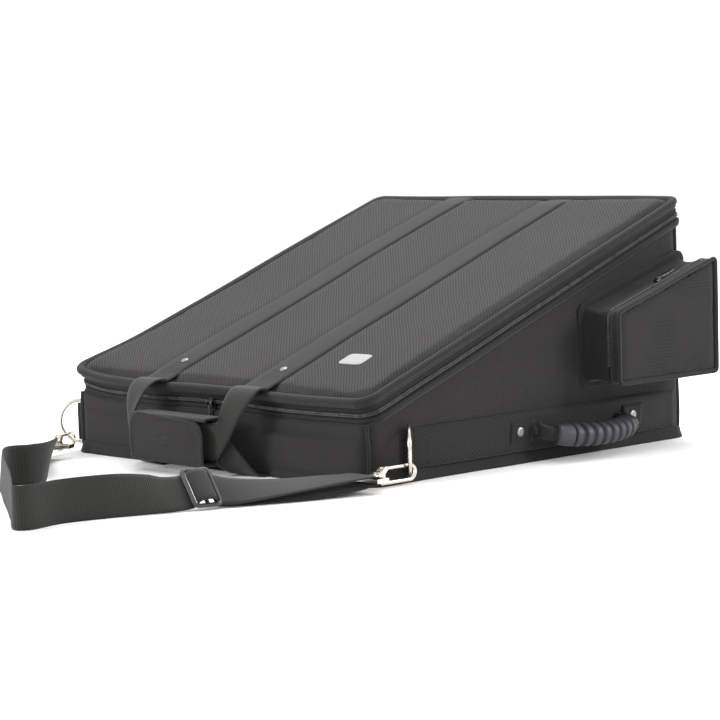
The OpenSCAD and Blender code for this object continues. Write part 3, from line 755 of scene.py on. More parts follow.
class BAG_OT_body(bpy.types.Operator):
    """Builds the padded, sagging body walls with its lining, seams and hem"""

    bl_idname = "bag.body"
    bl_label = "Body"

    def execute(self, context):
        outer = settle(wall_grid(0, 2.4 * MM, 0, 26, size_settings().crown))
        inner = settle(wall_grid(WALL - MM, WALL - MM, -MM, 14, 0))
        grid = np.concatenate([outer, inner[:, ::-1]], 1)
        mesh = grid_mesh("body_walls", grid, ring_u=True, recalc=False)
        close_holes(mesh)
        walls = place("body_walls", mesh, "Body Cloth", "bag",
              ("base_panel", "front_panel", "back_panel", "left_side_panel", "right_side_panel"))

        skin = settle(wall_grid(WALL + 0.4 * MM, WALL + 0.3 * MM, -2 * MM, 14, 0))
        inside = settle(wall_grid(WALL + 1.4 * MM, WALL + 1.3 * MM, -2 * MM, 14, 0))
        lining = grid_mesh("bag_lining", np.concatenate([skin, inside[:, ::-1]], 1), ring_u=True,
                           recalc=False)
        close_holes(lining)
        place("bag_lining", lining, "Inner Lining", "bag", ("body_lining",))
        self.hem()
        self.corners()
        return {"FINISHED"}

    def hem(self):
        path, normals = rounded_outline(BODY_X, -BODY_Y, BODY_Y, BODY_R, BODY_R, 4 * MM)
        flat = np.zeros(len(path))
        ring = np.stack([path[:, 0], path[:, 1], flat], -1)
        out = np.stack([normals[:, 0], normals[:, 1], flat], -1)
        up = np.broadcast_to(np.array([0, 0, 1.0]), out.shape)
        profile = np.array([(-1, 0.4), (2.5, 0.0), (5.2, 0.1), (6.0, 1.0), (5.4, 3.4), (4.1, 7.0),
                            (3.6, 10.0),
                            (2.6, 12.0), (0.8, 12.6), (-1, 12.2)]) * MM
        shape = np.repeat(profile[None], len(path), 0)
        wobble = ripple(ring, 14.0, 6) * 1.3 * MM + ripple(ring, 40.0, 7) * 0.5 * MM
        low = 1 - shape[..., 1] / (12.6 * MM)
        shape[..., 0] += np.where(shape[..., 0] > 2 * MM, wobble[:, None] * (0.5 + low), 0)
        shape[..., 1] += np.where(shape[..., 1] > 6 * MM, wobble[:, None] * 0.6, 0)
        strap = np.zeros(len(path))
        for side in (-1, 1):
            strap += ramp(24 * MM - np.abs(ring[:, 0] - HANDLE_X - side * HANDLE_HALF), 0,
                          4 * MM) * (ring[:, 1] < 0)
        lifted = 2.3 * MM * strap
        shape[..., 1] = lifted[:, None] + shape[..., 1] * (1 - lifted[:, None] / (12.6 * MM))
        mesh = sweep("base_binding", ring, out, up, shape, closed=True)
        place("base_binding", mesh, "Edge Binding", "bag", ("base_hem",))
        line = ring + out * 4.5 * MM + up * 9.2 * MM + out * wobble[:, None] * 0.6
        facing = closed_row(out) + np.array([0, 0, 0.25])
        stitches("hem_stitches", [(closed_row(line), facing)], "bag")

    def corners(self):
        seams = []
        for sx in (-1, 1):
            for sy in (-1, 1):
                diag = np.array([sx, sy, 0]) / math.sqrt(2)
                centre = np.array([sx * (BODY_X - BODY_R), sy * (BODY_Y - BODY_R), 0])
                top = wall_top(sy * (BODY_Y - 5 * MM)) + (15 * MM if sy > 0 else -1 * MM)
                z = np.linspace(11 * MM, top, max(8, int(top / (5 * MM))))
                line = centre + diag * (BODY_R + 0.4 * MM) + np.array([0, 0, 1]) * z[:, None]
                line = settle(line)
                side = np.cross(diag, [0, 0, 1])
                sway = (0.9 if sy > 0 else 2.2) * MM
                line = line + diag * (ripple(line, 24.0, 8) * sway)[:, None]
                line = line + side * (ripple(line, 30.0, 9) * sway)[:, None]
                fold = circle_profile((2.6 if sy > 0 else 3.3) * MM, 10, 0.62)
                fold[:, 0] += np.where(fold[:, 0] > 0, 0.5 * MM, 0)
                seams.append(sweep("seam", line, np.broadcast_to(diag, line.shape),
                                   np.broadcast_to(side, line.shape), fold))
        place("corner_seams", seams, "Edge Binding", "bag",
              ("corner_binding",))


def lid_ring(inset):
    """The lid's outline in its own frame: points, outward directions and the flat Z direction."""
    path, normals = rounded_outline(LID_X - inset, LID_FRONT + inset, LID_BACK - inset,
                                    LID_R_FRONT - inset, LID_R_BACK - inset, 5 * MM)
    flat = np.zeros((len(path), 1))
    return np.hstack([path, flat]), np.hstack([normals, flat])


def zipped_part(points, normals):
    """The run of a closed lid outline that is zipped: down one side, round the front and back up."""
    limit = LID_BACK - 4 * MM
    keep = points[:, 1] < limit
    first = int(np.argmax(~np.roll(keep, 1) & keep)) if not keep.all() else 0
    order = (np.arange(len(points)) + first) % len(points)
    order = [i for i in order if keep[i]]
    return points[order], normals[order]


def lid_sweep(name, ring, out, profile, closed):
    """A profile swept along a line in the lid's frame, then settled in the row frame."""
    profile = np.array(profile, float) * MM
    grid = ring[:, None] + out[:, None] * profile[None, :, :1]
    grid[..., 2] += profile[None, :, 1]
    return grid_mesh(name, settle(out_of_lid(grid)), ring_u=closed, ring_v=True)


class BAG_OT_lid(bpy.types.Operator):
    """Builds the stuffed lid pad with its binding, lining, straps, rivets and label"""

    bl_idname = "bag.lid"
    bl_label = "Padded Lid"

    def execute(self, context):
        self.pad()
        self.edge()
        self.straps()
        return {"FINISHED"}

    def pad(self):
        path, _ = rounded_outline(LID_X - 1.2 * MM, LID_FRONT + 1.2 * MM, LID_BACK - 1.2 * MM,
                                  LID_R_FRONT - 2 * MM, LID_R_BACK - 2 * MM, 8 * MM)
        low, high = -LID_THICK + 2.2 * MM, -1.8 * MM
        layers = [np.hstack([path, np.full((len(path), 1), z)]) for z in (low, high)]
        grid = np.stack(layers, 1)
        mesh = grid_mesh("lid_pad_base", grid, ring_u=True, recalc=False)
        close_holes(mesh)
        mesh = inflate("lid_pad", mesh, 4.5 * MM, 4.0, 5 * MM)
        pts = get_points(mesh)
        pts[:, 0] = np.clip(pts[:, 0], -LID_X - 0.6 * MM, LID_X + 0.6 * MM)
        pts[:, 1] = np.clip(pts[:, 1], LID_FRONT - 0.6 * MM, LID_BACK + 0.6 * MM)
        x, y = pts[:, 0], pts[:, 1]
        top = pts[:, 2] > (low + high) / 2
        edge = np.minimum(np.minimum(LID_X - np.abs(x), LID_BACK - y), y - LID_FRONT)
        inward = ramp(edge, 0, 26 * MM)
        fill = (0.6 + 1.6 * inward) * MM
        limit = np.where(top, fill, -LID_THICK)
        pts[:, 2] = np.where(top, np.minimum(pts[:, 2], limit), np.maximum(pts[:, 2], limit))
        dents = np.zeros(len(pts))
        for side in (-1, 1):
            middle = HANDLE_X + side * HANDLE_HALF
            bend = 2.5 * MM * np.sin((y - LID_FRONT) / 0.07) * ramp(y, -0.4, -0.15)
            for web_edge in (-1, 1):
                dents += bell(x, middle + bend + web_edge * 21 * MM, 6 * MM) * 0.9 * MM
            dents += bell(x, middle + bend, 15 * MM) * 0.4 * MM
        dents += bell(edge, 10 * MM, 5 * MM) * 0.4 * MM
        soft = ripple(pts * np.array([1, 1, 0]), 12.0, 9) * 0.8 * MM
        pts[:, 2] += np.where(top, soft * inward - dents * ramp(edge, 2 * MM, 8 * MM), 0)
        mesh_points = settle(out_of_lid(pts))
        set_points(mesh, mesh_points)
        pad = place("lid_pad", mesh, "Lid Cloth", "lid", ("lid_panel",))
        self.surface = BVHTree.FromObject(pad, bpy.context.evaluated_depsgraph_get())
        path, _ = rounded_outline(LID_X - 7 * MM, LID_FRONT + 7 * MM, LID_BACK - 7 * MM, LID_R_FRONT - 6 * MM,
                                  LID_R_BACK - 6 * MM, 10 * MM)
        rows = [np.hstack([path, np.full((len(path), 1), z * MM)]) for z in (-9.2, -10.2)]
        sheet = grid_mesh("lid_lining", settle(out_of_lid(np.stack(rows, 1))), ring_u=True, recalc=False)
        close_holes(sheet)
        place("lid_lining_cloth", sheet, "Inner Lining", "lid", ("lid_lining",))

    def over_pad(self, point):
        """The spot on the pad's top under a point in the lid's frame, given in the row frame."""
        above = out_of_lid(np.array([point[0], point[1], 30 * MM]))
        spot = self.surface.ray_cast(Vector(above), Vector(-LID_UP))[0]
        if spot is None:
            return settle(out_of_lid(np.array(point, float)))
        return np.array(spot)

    def edge(self):
        ring, out = lid_ring(0)
        roll = [(-8.5, -3.2), (-5.0, -1.3), (-2.0, -0.3), (0.6, -0.6), (2.4, -2.0), (3.0, -4.0),
                (2.4, -6.0), (1.0, -7.2),
                (0.5, -8.6), (0.2, -10.0), (-1.4, -10.0), (-7.0, -7.0)]
        mesh = lid_sweep("lid_edge", ring, out, roll, True)
        place("lid_edge", mesh, "Body Cloth", "lid", ("lid_binding",))
        row = settle(out_of_lid(ring - out * 4.5 * MM + np.array([0, 0, 0.4 * MM])))
        stitches("lid_edge_stitches", [(closed_row(row), LID_UP)], "lid",
                 size=(2.3, 0.6, 0.45))

    def straps(self):
        up = LID_UP
        rows = []
        for side, node in ((-1, "lid_strap_left"), (1, "lid_strap_right")):
            middle = HANDLE_X + side * HANDLE_HALF
            ys = np.arange(LID_FRONT - 0.5 * MM, LID_BACK - 4 * MM, 5 * MM)
            lines = []
            for edge in np.linspace(-1, 1, 7):
                line = []
                for y in ys:
                    bend = 2.5 * MM * math.sin((y - LID_FRONT) / 0.07) * float(ramp(np.array(y), -0.4, -0.15))
                    point = self.over_pad((middle + bend + edge * WEB_W / 2, max(y, LID_FRONT + 5 * MM), 0))
                    if y < LID_FRONT + 5 * MM:
                        slide = out_of_lid(np.array([0, y - LID_FRONT - 5 * MM, 0])) - out_of_lid(np.zeros(3))
                        point = point + slide
                    line.append(point)
                lines.append(np.array(line))
            face = np.stack(lines, 1)
            level = into_lid(face)
            kernel = np.ones(5) / 5
            for j in range(face.shape[1]):
                padded = np.pad(level[:, j, 2], 2, mode="edge")
                level[:, j, 2] = np.convolve(padded, kernel, "valid")
            level[..., 2] += 0.05 * MM + 0.2 * MM * (1 - np.linspace(-1, 1, 7) ** 2)
            level[:6, :, 2] = np.maximum(level[:6, :, 2], 0.3 * MM)
            face = out_of_lid(level)
            grid = np.concatenate([face + up * 0.6 * MM, (face - up * 0.6 * MM)[:, ::-1]], 1)
            name = "lid_web_left" if side < 0 else "lid_web_right"
            place(name, grid_mesh(name, grid, ring_v=True), "Sewn Webbing", "lid", (node,))
            for j in (0, 6):
                across = unit(face[:, 3] - face[:, j])
                rows.append((face[6:, j] + across[6:] * 2.4 * MM + up * 0.7 * MM, up))
            rows.append((face[8, 1:6] + up * 0.7 * MM, up))
        stitches("lid_web_stitches", rows, "lid", size=(2.4, 0.65, 0.5))
        self.rivets()
        self.label()

    def rivets(self):
        heads = []
        for side in (-1, 1):
            spot = self.over_pad((HANDLE_X + side * HANDLE_HALF, LID_FRONT + 44 * MM, 0))
            heads.append(rivet_head(spot + LID_UP * MM, LID_UP, 4.2 * MM))
        place("lid_rivet_heads", heads, "Rivet Steel", "lid",
              ("lid_rivets",))

    def label(self):
        centre = into_lid(node_points("lid_label")).mean(axis=0)
        turns = np.linspace(0, 2 * math.pi, 48, endpoint=False)
        power = 0.38
        rim = np.stack([17 * MM * np.sign(np.cos(turns)) * np.abs(np.cos(turns)) ** power,
                        11 * MM * np.sign(np.sin(turns)) * np.abs(np.sin(turns)) ** power], -1)
        layers = []
        for share, rise in ((1.0, 0.0), (1.0, 0.5), (0.95, 0.9), (0.6, 1.0), (0.02, 1.0)):
            layers.append([self.over_pad((centre[0] + p[0] * share, centre[1] + p[1] * share, 0))
                           + LID_UP * (rise * MM) for p in rim])
        grid = np.array(layers).transpose(1, 0, 2)
        mesh = grid_mesh("label_tab", grid, ring_u=True)
        close_holes(mesh)
        place("label_tab", mesh, "Pale Label", "lid", ("lid_label",))


def rivet_head(spot, axis, radius):
    """A low domed head with a dimple, standing on a spot along an axis."""
    axis = unit(np.array(axis, float))
    side = unit(np.cross(axis, [0.3, 0.9, 0.1]))
    other = np.cross(axis, side)
    turns = np.linspace(0, 2 * math.pi, 24, endpoint=False)
    rings = [(0.05, -0.3), (1.0, -0.3), (1.02, 0.3), (0.9, 0.9), (0.55, 1.25), (0.25, 1.2), (0.05, 1.1)]
    grid = np.array([[spot + (side * math.cos(a) + other * math.sin(a)) * radius * r + axis * h * MM
                      for r, h in rings] for a in turns])
    return grid_mesh("rivet", grid, ring_u=True)


class BAG_OT_zip(bpy.types.Operator):
    """Builds the main zip: tapes, two rows of coil, piping, sliders, pulls and the cloth hinge"""

    bl_idname = "bag.zip"
    bl_label = "Main Zip"

    def execute(self, context):
        ring, out = lid_ring(2.5 * MM)
        run, away = zipped_part(ring, out)
        mid, foot = ZIP_MID / MM, ZIP_FOOT / MM
        lower = [(0, foot + 1), (0.2, foot + 4), (-0.4, mid - 2), (0.2, mid - 0.3), (-1.5, mid - 0.3),
                 (-1.6, foot + 1)]
        upper = [(0.2, mid + 0.3), (-0.4, mid + 2), (0.2, -10.5), (0, -9.2), (-1.6, -9.2), (-1.5, mid + 0.3)]
        place("zip_tape_lower", lid_sweep("zip_tape_lower", run, away, lower, False), "Zip Tape", "bag",
              ("body_zip_tape",))
        place("zip_tape_upper", lid_sweep("zip_tape_upper", run, away, upper, False), "Zip Tape", "lid",
              ("lid_zip_tape",))
        piping = [(2.6, foot + 1.6), (2.2, foot + 3.3), (0.8, foot + 4.4), (-1.2, foot + 3.6),
                  (-2, foot + 1.5),
                  (-1.5, foot - 2.5), (0.6, foot - 3.5), (2.0, foot - 1.0)]
        place("body_piping_fold", lid_sweep("body_piping_fold", run, away, piping, False), "Edge Binding",
              "bag", ("body_piping",))
        for name, level, body, node in (("zip_coil_lower", mid - 1.0, "bag", "body_zip_coil"),
                                        ("zip_coil_upper", mid + 1.0, "lid", "lid_zip_coil")):
            line = settle(out_of_lid(run + away * 1.3 * MM + np.array([0, 0, level * MM])))
            beads(name, [(line, away)], size_settings().tooth, (1.15 * MM, 2.0 * MM, 2.4 * MM), "Zip Coil",
                  body, (node,))
        row = settle(out_of_lid(run + away * 0.25 * MM + np.array([0, 0, (foot + 5.6) * MM])))
        stitches("zip_stitches_lower", [(row, away)], "bag", 0.8, (2.0, 0.5, 0.4))
        self.sliders()
        self.hinge()
        return {"FINISHED"}

    def sliders(self):
        turn = Matrix.Rotation(TILT, 4, "X")
        for side in ("left", "right"):
            lo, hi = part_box("zip_slider_" + side)
            pull_lo, pull_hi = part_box("zip_pull_" + side)
            x = (lo.x + hi.x) / 2
            front = lo.y + 2.6 * MM
            z = (lo.z + hi.z) / 2
            parts = [block("plate", (9.4 * MM, 2.2 * MM, 9.2 * MM), (x, front + 1.5 * MM, z), 0.9 * MM, turn)]
            arch = [(x, front + 0.6 * MM, z - 4 * MM), (x, front - 1.8 * MM, z - 2.6 * MM),
                    (x, front - 2.4 * MM, z), (x, front - 1.8 * MM, z + 2.6 * MM),
                    (x, front + 0.6 * MM, z + 4 * MM)]
            for shift in (-3.4, 3.4):
                line = smooth_line(arch, 0.8 * MM) + np.array([shift * MM, 0, 0])
                parts.append(tube("arch", line, 0.75 * MM, 8))
            name = "zip_slider_body_" + side
            place(name, parts, "Zip Enamel", "slider_" + side,
                  ("zip_slider_" + side,))
            px, py = (pull_lo.x + pull_hi.x) / 2, (pull_lo.y + pull_hi.y) / 2
            top, foot = pull_hi.z - 1.1 * MM, pull_lo.z
            widths = [(0, 3.0), (0.12, 3.0), (0.2, 2.1), (0.28, 2.6), (0.45, 3.4), (0.8, 3.7), (0.93, 3.4),
                      (1, 2.2)]
            stations = np.array([(top + (foot - top) * s, w * MM) for s, w in widths])
            spans = smooth_line(np.hstack([stations, stations[:, :1] * 0]), 1.2 * MM)
            left_edge = np.stack([px - spans[:, 1], np.full(len(spans), py), spans[:, 0]], -1)
            right_edge = np.stack([px + spans[:, 1], np.full(len(spans), py), spans[:, 0]], -1)
            pull = webbing("pull", left_edge, right_edge, 1.5 * MM, 8)
            axle = tube("axle", np.array([[px + k * MM, py, top] for k in (-3, 0, 3)]), 1.1 * MM, 10)
            rib = tube("rib",
                       np.array([[px, py - 0.9 * MM, top + (foot - top) * s] for s in (0.5, 0.7, 0.88)]),
                       1.3 * MM, 8)
            name = "zip_pull_tab_" + side
            place(name, [pull, axle, rib], "Zip Enamel", "pull_" + side,
                  ("zip_pull_" + side,))

    def hinge(self):
        x = np.linspace(-(BODY_X - BODY_R), BODY_X - BODY_R, 60)
        lo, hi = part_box("hinge_strip")
        pivot = Vector(JOINTS["lid_hinge"]["pos_m"])
        lid_edge = out_of_lid(np.array([0, LID_BACK + 1.5 * MM, -5 * MM]))
        stations = [(hi.y + 0.2 * MM, lo.z), (hi.y + 0.8 * MM, lo.z + 8 * MM),
                    (hi.y + 0.7 * MM, hi.z - 3 * MM),
                    (pivot.y + 1.6 * MM, pivot.z + 3 * MM), (lid_edge[1] + 0.5 * MM, lid_edge[2])]
        line = smooth_line(np.array([(0, y, z) for y, z in stations]), 1.6 * MM)
        grid = np.repeat(line[None], len(x), 0)
        grid[..., 0] = x[:, None]
        grid[..., 1] += ripple(grid, 20.0, 11) * 0.5 * MM
        back = np.gradient(grid, axis=1)
        normal = unit(np.cross(back, np.array([1.0, 0, 0])))
        closed = np.concatenate([grid + normal * 0.5 * MM, (grid - normal * 0.5 * MM)[:, ::-1]], 1)
        mesh = grid_mesh("hinge_cloth", closed, ring_v=True)
        obj = place("hinge_cloth", mesh, "Edge Binding", None, ("hinge_strip",))
        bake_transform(obj)


def band_from_stations(name, low, high):
    """Webbing through paired edge stations given in metres."""
    both = smooth_line(np.hstack([np.array(low, float), np.array(high, float)]), 3 * MM)
    return webbing(name, both[:, :3], both[:, 3:])


def mirrored(stations):
    """Stations of a loop's other half, mirrored about the handles' middle and run backwards."""
    return [(2 * HANDLE_X - x, y, z) for x, y, z in reversed(stations)]


class BAG_OT_carry_handles(bpy.types.Operator):
    """Builds the two web loops in front and the padded wrap with its flap"""

    bl_idname = "bag.carry_handles"
    bl_label = "Carry Handles"

    def execute(self, context):
        h = HANDLE_X
        web_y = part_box("upper_handle")[0].y + MM
        low = [(h - .099, -.2400, .0890), (h - .099, -.2490, .0870), (h - .098, -.2585, .078),
               (h - .091, -.2670, .062), (h - .076, -.2750, .032), (h - .060, web_y, .018),
               (h - .020, web_y, .016)]
        high = [(h - .059, -.2400, .0890), (h - .0605, -.2495, .0885), (h - .063, -.2585, .0835),
                (h - .065, -.2660, .075), (h - .067, -.2740, .063), (h - .063, web_y, .0555),
                (h - .020, web_y, .055)]
        upper = band_from_stations("carry_loop_upper", low + mirrored(low), high + mirrored(high))
        place("carry_loop_upper", upper, "Ribbed Webbing", "carry_handle", ("upper_handle",))
        web_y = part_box("lower_handle")[0].y + MM
        low = [(h - .059, -.2390, .0012), (h - .058, -.2500, .002), (h - .058, -.2620, .006),
               (h - .054, web_y, .011), (h - .040, web_y, .014), (h - .020, web_y, .014)]
        high = [(h - .099, -.2390, .0012), (h - .097, -.2520, .005), (h - .086, -.2640, .024),
                (h - .068, web_y, .042), (h - .046, web_y, .052), (h - .020, web_y, .053)]
        lower = band_from_stations("carry_loop_lower", low + mirrored(low), high + mirrored(high))
        place("carry_loop_lower", lower, "Ribbed Webbing", "bag", ("lower_handle",))
        under = []
        lo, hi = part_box("base_straps")
        for side in (-1, 1):
            middle = h + side * HANDLE_HALF
            ys = np.linspace(lo.y, hi.y, 60)
            left = np.stack([np.full(60, middle - 20 * MM), ys, np.full(60, MM)], -1)
            right = left + np.array([40 * MM, 0, 0])
            under.append(webbing("under", left, right, 1.9 * MM))
        place("base_webs", under, "Sewn Webbing", "bag", ("base_straps",))
        self.wrap()
        return {"FINISHED"}

    def wrap(self):
        lo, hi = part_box("handle_wrap")
        x = np.linspace(lo.x, hi.x, 40)
        core = -.2722
        outline = [(lo.y + 0.2 * MM, lo.z + 1.3 * MM), (core - 4 * MM, lo.z + 1.2 * MM),
                   (core - .5 * MM, lo.z + 4 * MM),
                   (core, lo.z + 16 * MM), (core, hi.z - 8 * MM), (core + .6 * MM, hi.z - 3 * MM),
                   (core + 5 * MM, hi.z - 1.0 * MM), (hi.y - 3 * MM, hi.z - 1.0 * MM),
                   (hi.y - 0.8 * MM, hi.z - 2.2 * MM),
                   (hi.y - 0.7 * MM, hi.z - 4.4 * MM)]
        top = [(lo.y + 0.2 * MM, hi.z - 3.4 * MM), (lo.y + 1.6 * MM, hi.z - 1.2 * MM),
               (core - 6 * MM, hi.z - 0.9 * MM),
               (core + 6 * MM, hi.z - 1.1 * MM)]
        parts = []
        for stations, thick in ((outline, 1.7 * MM), (top, 1.9 * MM)):
            line = smooth_line(np.array([(0, y, z) for y, z in stations]), 1.5 * MM)
            grid = np.repeat(line[None], len(x), 0)
            grid[..., 0] = x[:, None]
            normal = unit(np.cross(np.gradient(grid, axis=1), np.array([1.0, 0, 0])))
            grid = grid + normal * (ripple(grid, 40.0, 12) * 0.3 * MM)[..., None]
            closed = np.concatenate([grid + normal * thick / 2, (grid - normal * thick / 2)[:, ::-1]], 1)
            parts.append(grid_mesh("wrap", closed, ring_v=True))
        place("wrap_cover", parts, "Body Cloth", "carry_handle",
              ("handle_wrap",))
        self.flap()

    def flap(self):
        lo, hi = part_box("wrap_flap")
        half, tall, r, lean = (hi.x - lo.x) / 2, hi.z - lo.z, 15 * MM, 0.06
        path, _ = rounded_outline(half - MM, 1 * MM, tall - MM, 2.5 * MM, r, 3 * MM)
        grid_rings = []
        for share, rise in ((0.04, 2.6), (0.35, 2.5), (0.62, 2.2), (0.8, 1.75), (0.88, 1.35), (0.93, 1.9),
                            (0.985, 1.8), (1.0, 0.9), (0.99, 0.2), (0.93, -0.3), (0.5, -0.3), (0.04, -0.3)):
            centre = np.array([0, tall / 2])
            ring2 = centre + (path - centre) * share
            bow = (1 - (ring2[:, 0] / half) ** 2) * 2.4 * MM
            bow += (1 - ((ring2[:, 1] - tall / 2) / tall * 2) ** 2) * 1.6 * MM
            curl = -1.5 * MM * ramp(ring2[:, 1], tall * 0.75, tall)
            wave = ripple(np.stack([ring2[:, 0], ring2[:, 1], ring2[:, 0] * 0], -1), 30.0, 13) * 0.5 * MM
            off = (bow + curl) * 0.8 + wave + rise * MM
            droop = lean * ring2[:, 0] * ramp(ring2[:, 1], 0, tall)
            grid_rings.append(np.stack([ring2[:, 0] + (lo.x + hi.x) / 2, hi.y - 0.4 * MM - off,
                                        ring2[:, 1] + lo.z - droop], -1))
        grid = np.stack(grid_rings, 1)
        mesh = grid_mesh("wrap_flap_pad", grid, ring_u=True)
        close_holes(mesh)
        pad = place("wrap_flap_pad", mesh, "Body Cloth", "wrap_flap", ("wrap_flap",))
        inset, _ = rounded_outline(half - 6 * MM, 6 * MM, tall - 6 * MM, 3 * MM, r - 5 * MM, 3 * MM)
        tree = BVHTree.FromObject(pad, bpy.context.evaluated_depsgraph_get())
        row = []
        for p in inset:
            hit = tree.ray_cast(Vector((p[0] + (lo.x + hi.x) / 2, lo.y - 0.05, p[1] + lo.z)),
                                Vector((0, 1, 0)))
            row.append(tuple(hit[0] + Vector((0, -0.1 * MM, 0))))
        stitches("wrap_flap_stitches", [(closed_row(np.array(row)), np.array([0, -1.0, 0]))], "wrap_flap",
                 0.9, (2.3, 0.7, 0.5))


class BAG_OT_side_bands(bpy.types.Operator):
    """Builds the coarse webbing sewn low along both sides, folded round each ring's bar"""

    bl_idname = "bag.side_bands"
    bl_label = "Side Bands"

    def execute(self, context):
        rows = []
        for side, node in ((1, "side_band_right"), (-1, "side_band_left")):
            lo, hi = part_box(node)
            ring_x = side * 236.8 * MM
            start = lo.y + 4.2 * MM
            wall = side * BODY_X
            line = [(wall + side * 1.0 * MM, hi.y), (wall + side * 1.4 * MM, hi.y - 20 * MM),
                    (wall + side * 3.6 * MM, hi.y - 60 * MM)]
            ys = np.arange(hi.y - 90 * MM, start + 40 * MM, -25 * MM)
            line += [(wall + side * 4.6 * MM, float(y)) for y in ys]
            line += [(wall + side * 3.4 * MM, start + 24 * MM), (wall + side * 2.0 * MM, start + 8 * MM)]
            line = smooth_line(np.array([(x, y, 0) for x, y in line]), 4 * MM)
            low = line + np.array([0, 0, lo.z])
            high = line + np.array([0, 0, hi.z])
            band = webbing("band", low, high, WEB_T, 8)
            loop = []
            for a in np.linspace(-0.5, 1.35, 16) * math.pi:
                loop.append((ring_x + side * 3.1 * MM * math.sin(a), start - 3.1 * MM * math.cos(a), 0))
            loop = np.array(loop)
            keeper = webbing("keeper", loop + np.array([0, 0, lo.z]), loop + np.array([0, 0, hi.z]),
                             1.7 * MM, 8)
            name = "side_web_right" if side > 0 else "side_web_left"
            place(name, [band, keeper], "Honeycomb Webbing", "bag", (node,))
            for z in (lo.z + 2.2 * MM, hi.z - 2.2 * MM):
                rows.append((line + np.array([side * 1.05 * MM, 0, z]), np.array([side, 0.0, 0])))
            across = np.array([[line[-6][0] + side * 1.2 * MM, line[-6][1], z]
                               for z in np.linspace(lo.z + 3 * MM, hi.z - 3 * MM, 8)])
            rows.append((across, np.array([side, 0.0, 0])))
        stitches("side_web_stitches", rows, "bag", size=(2.4, 0.7, 0.5))
        return {"FINISHED"}


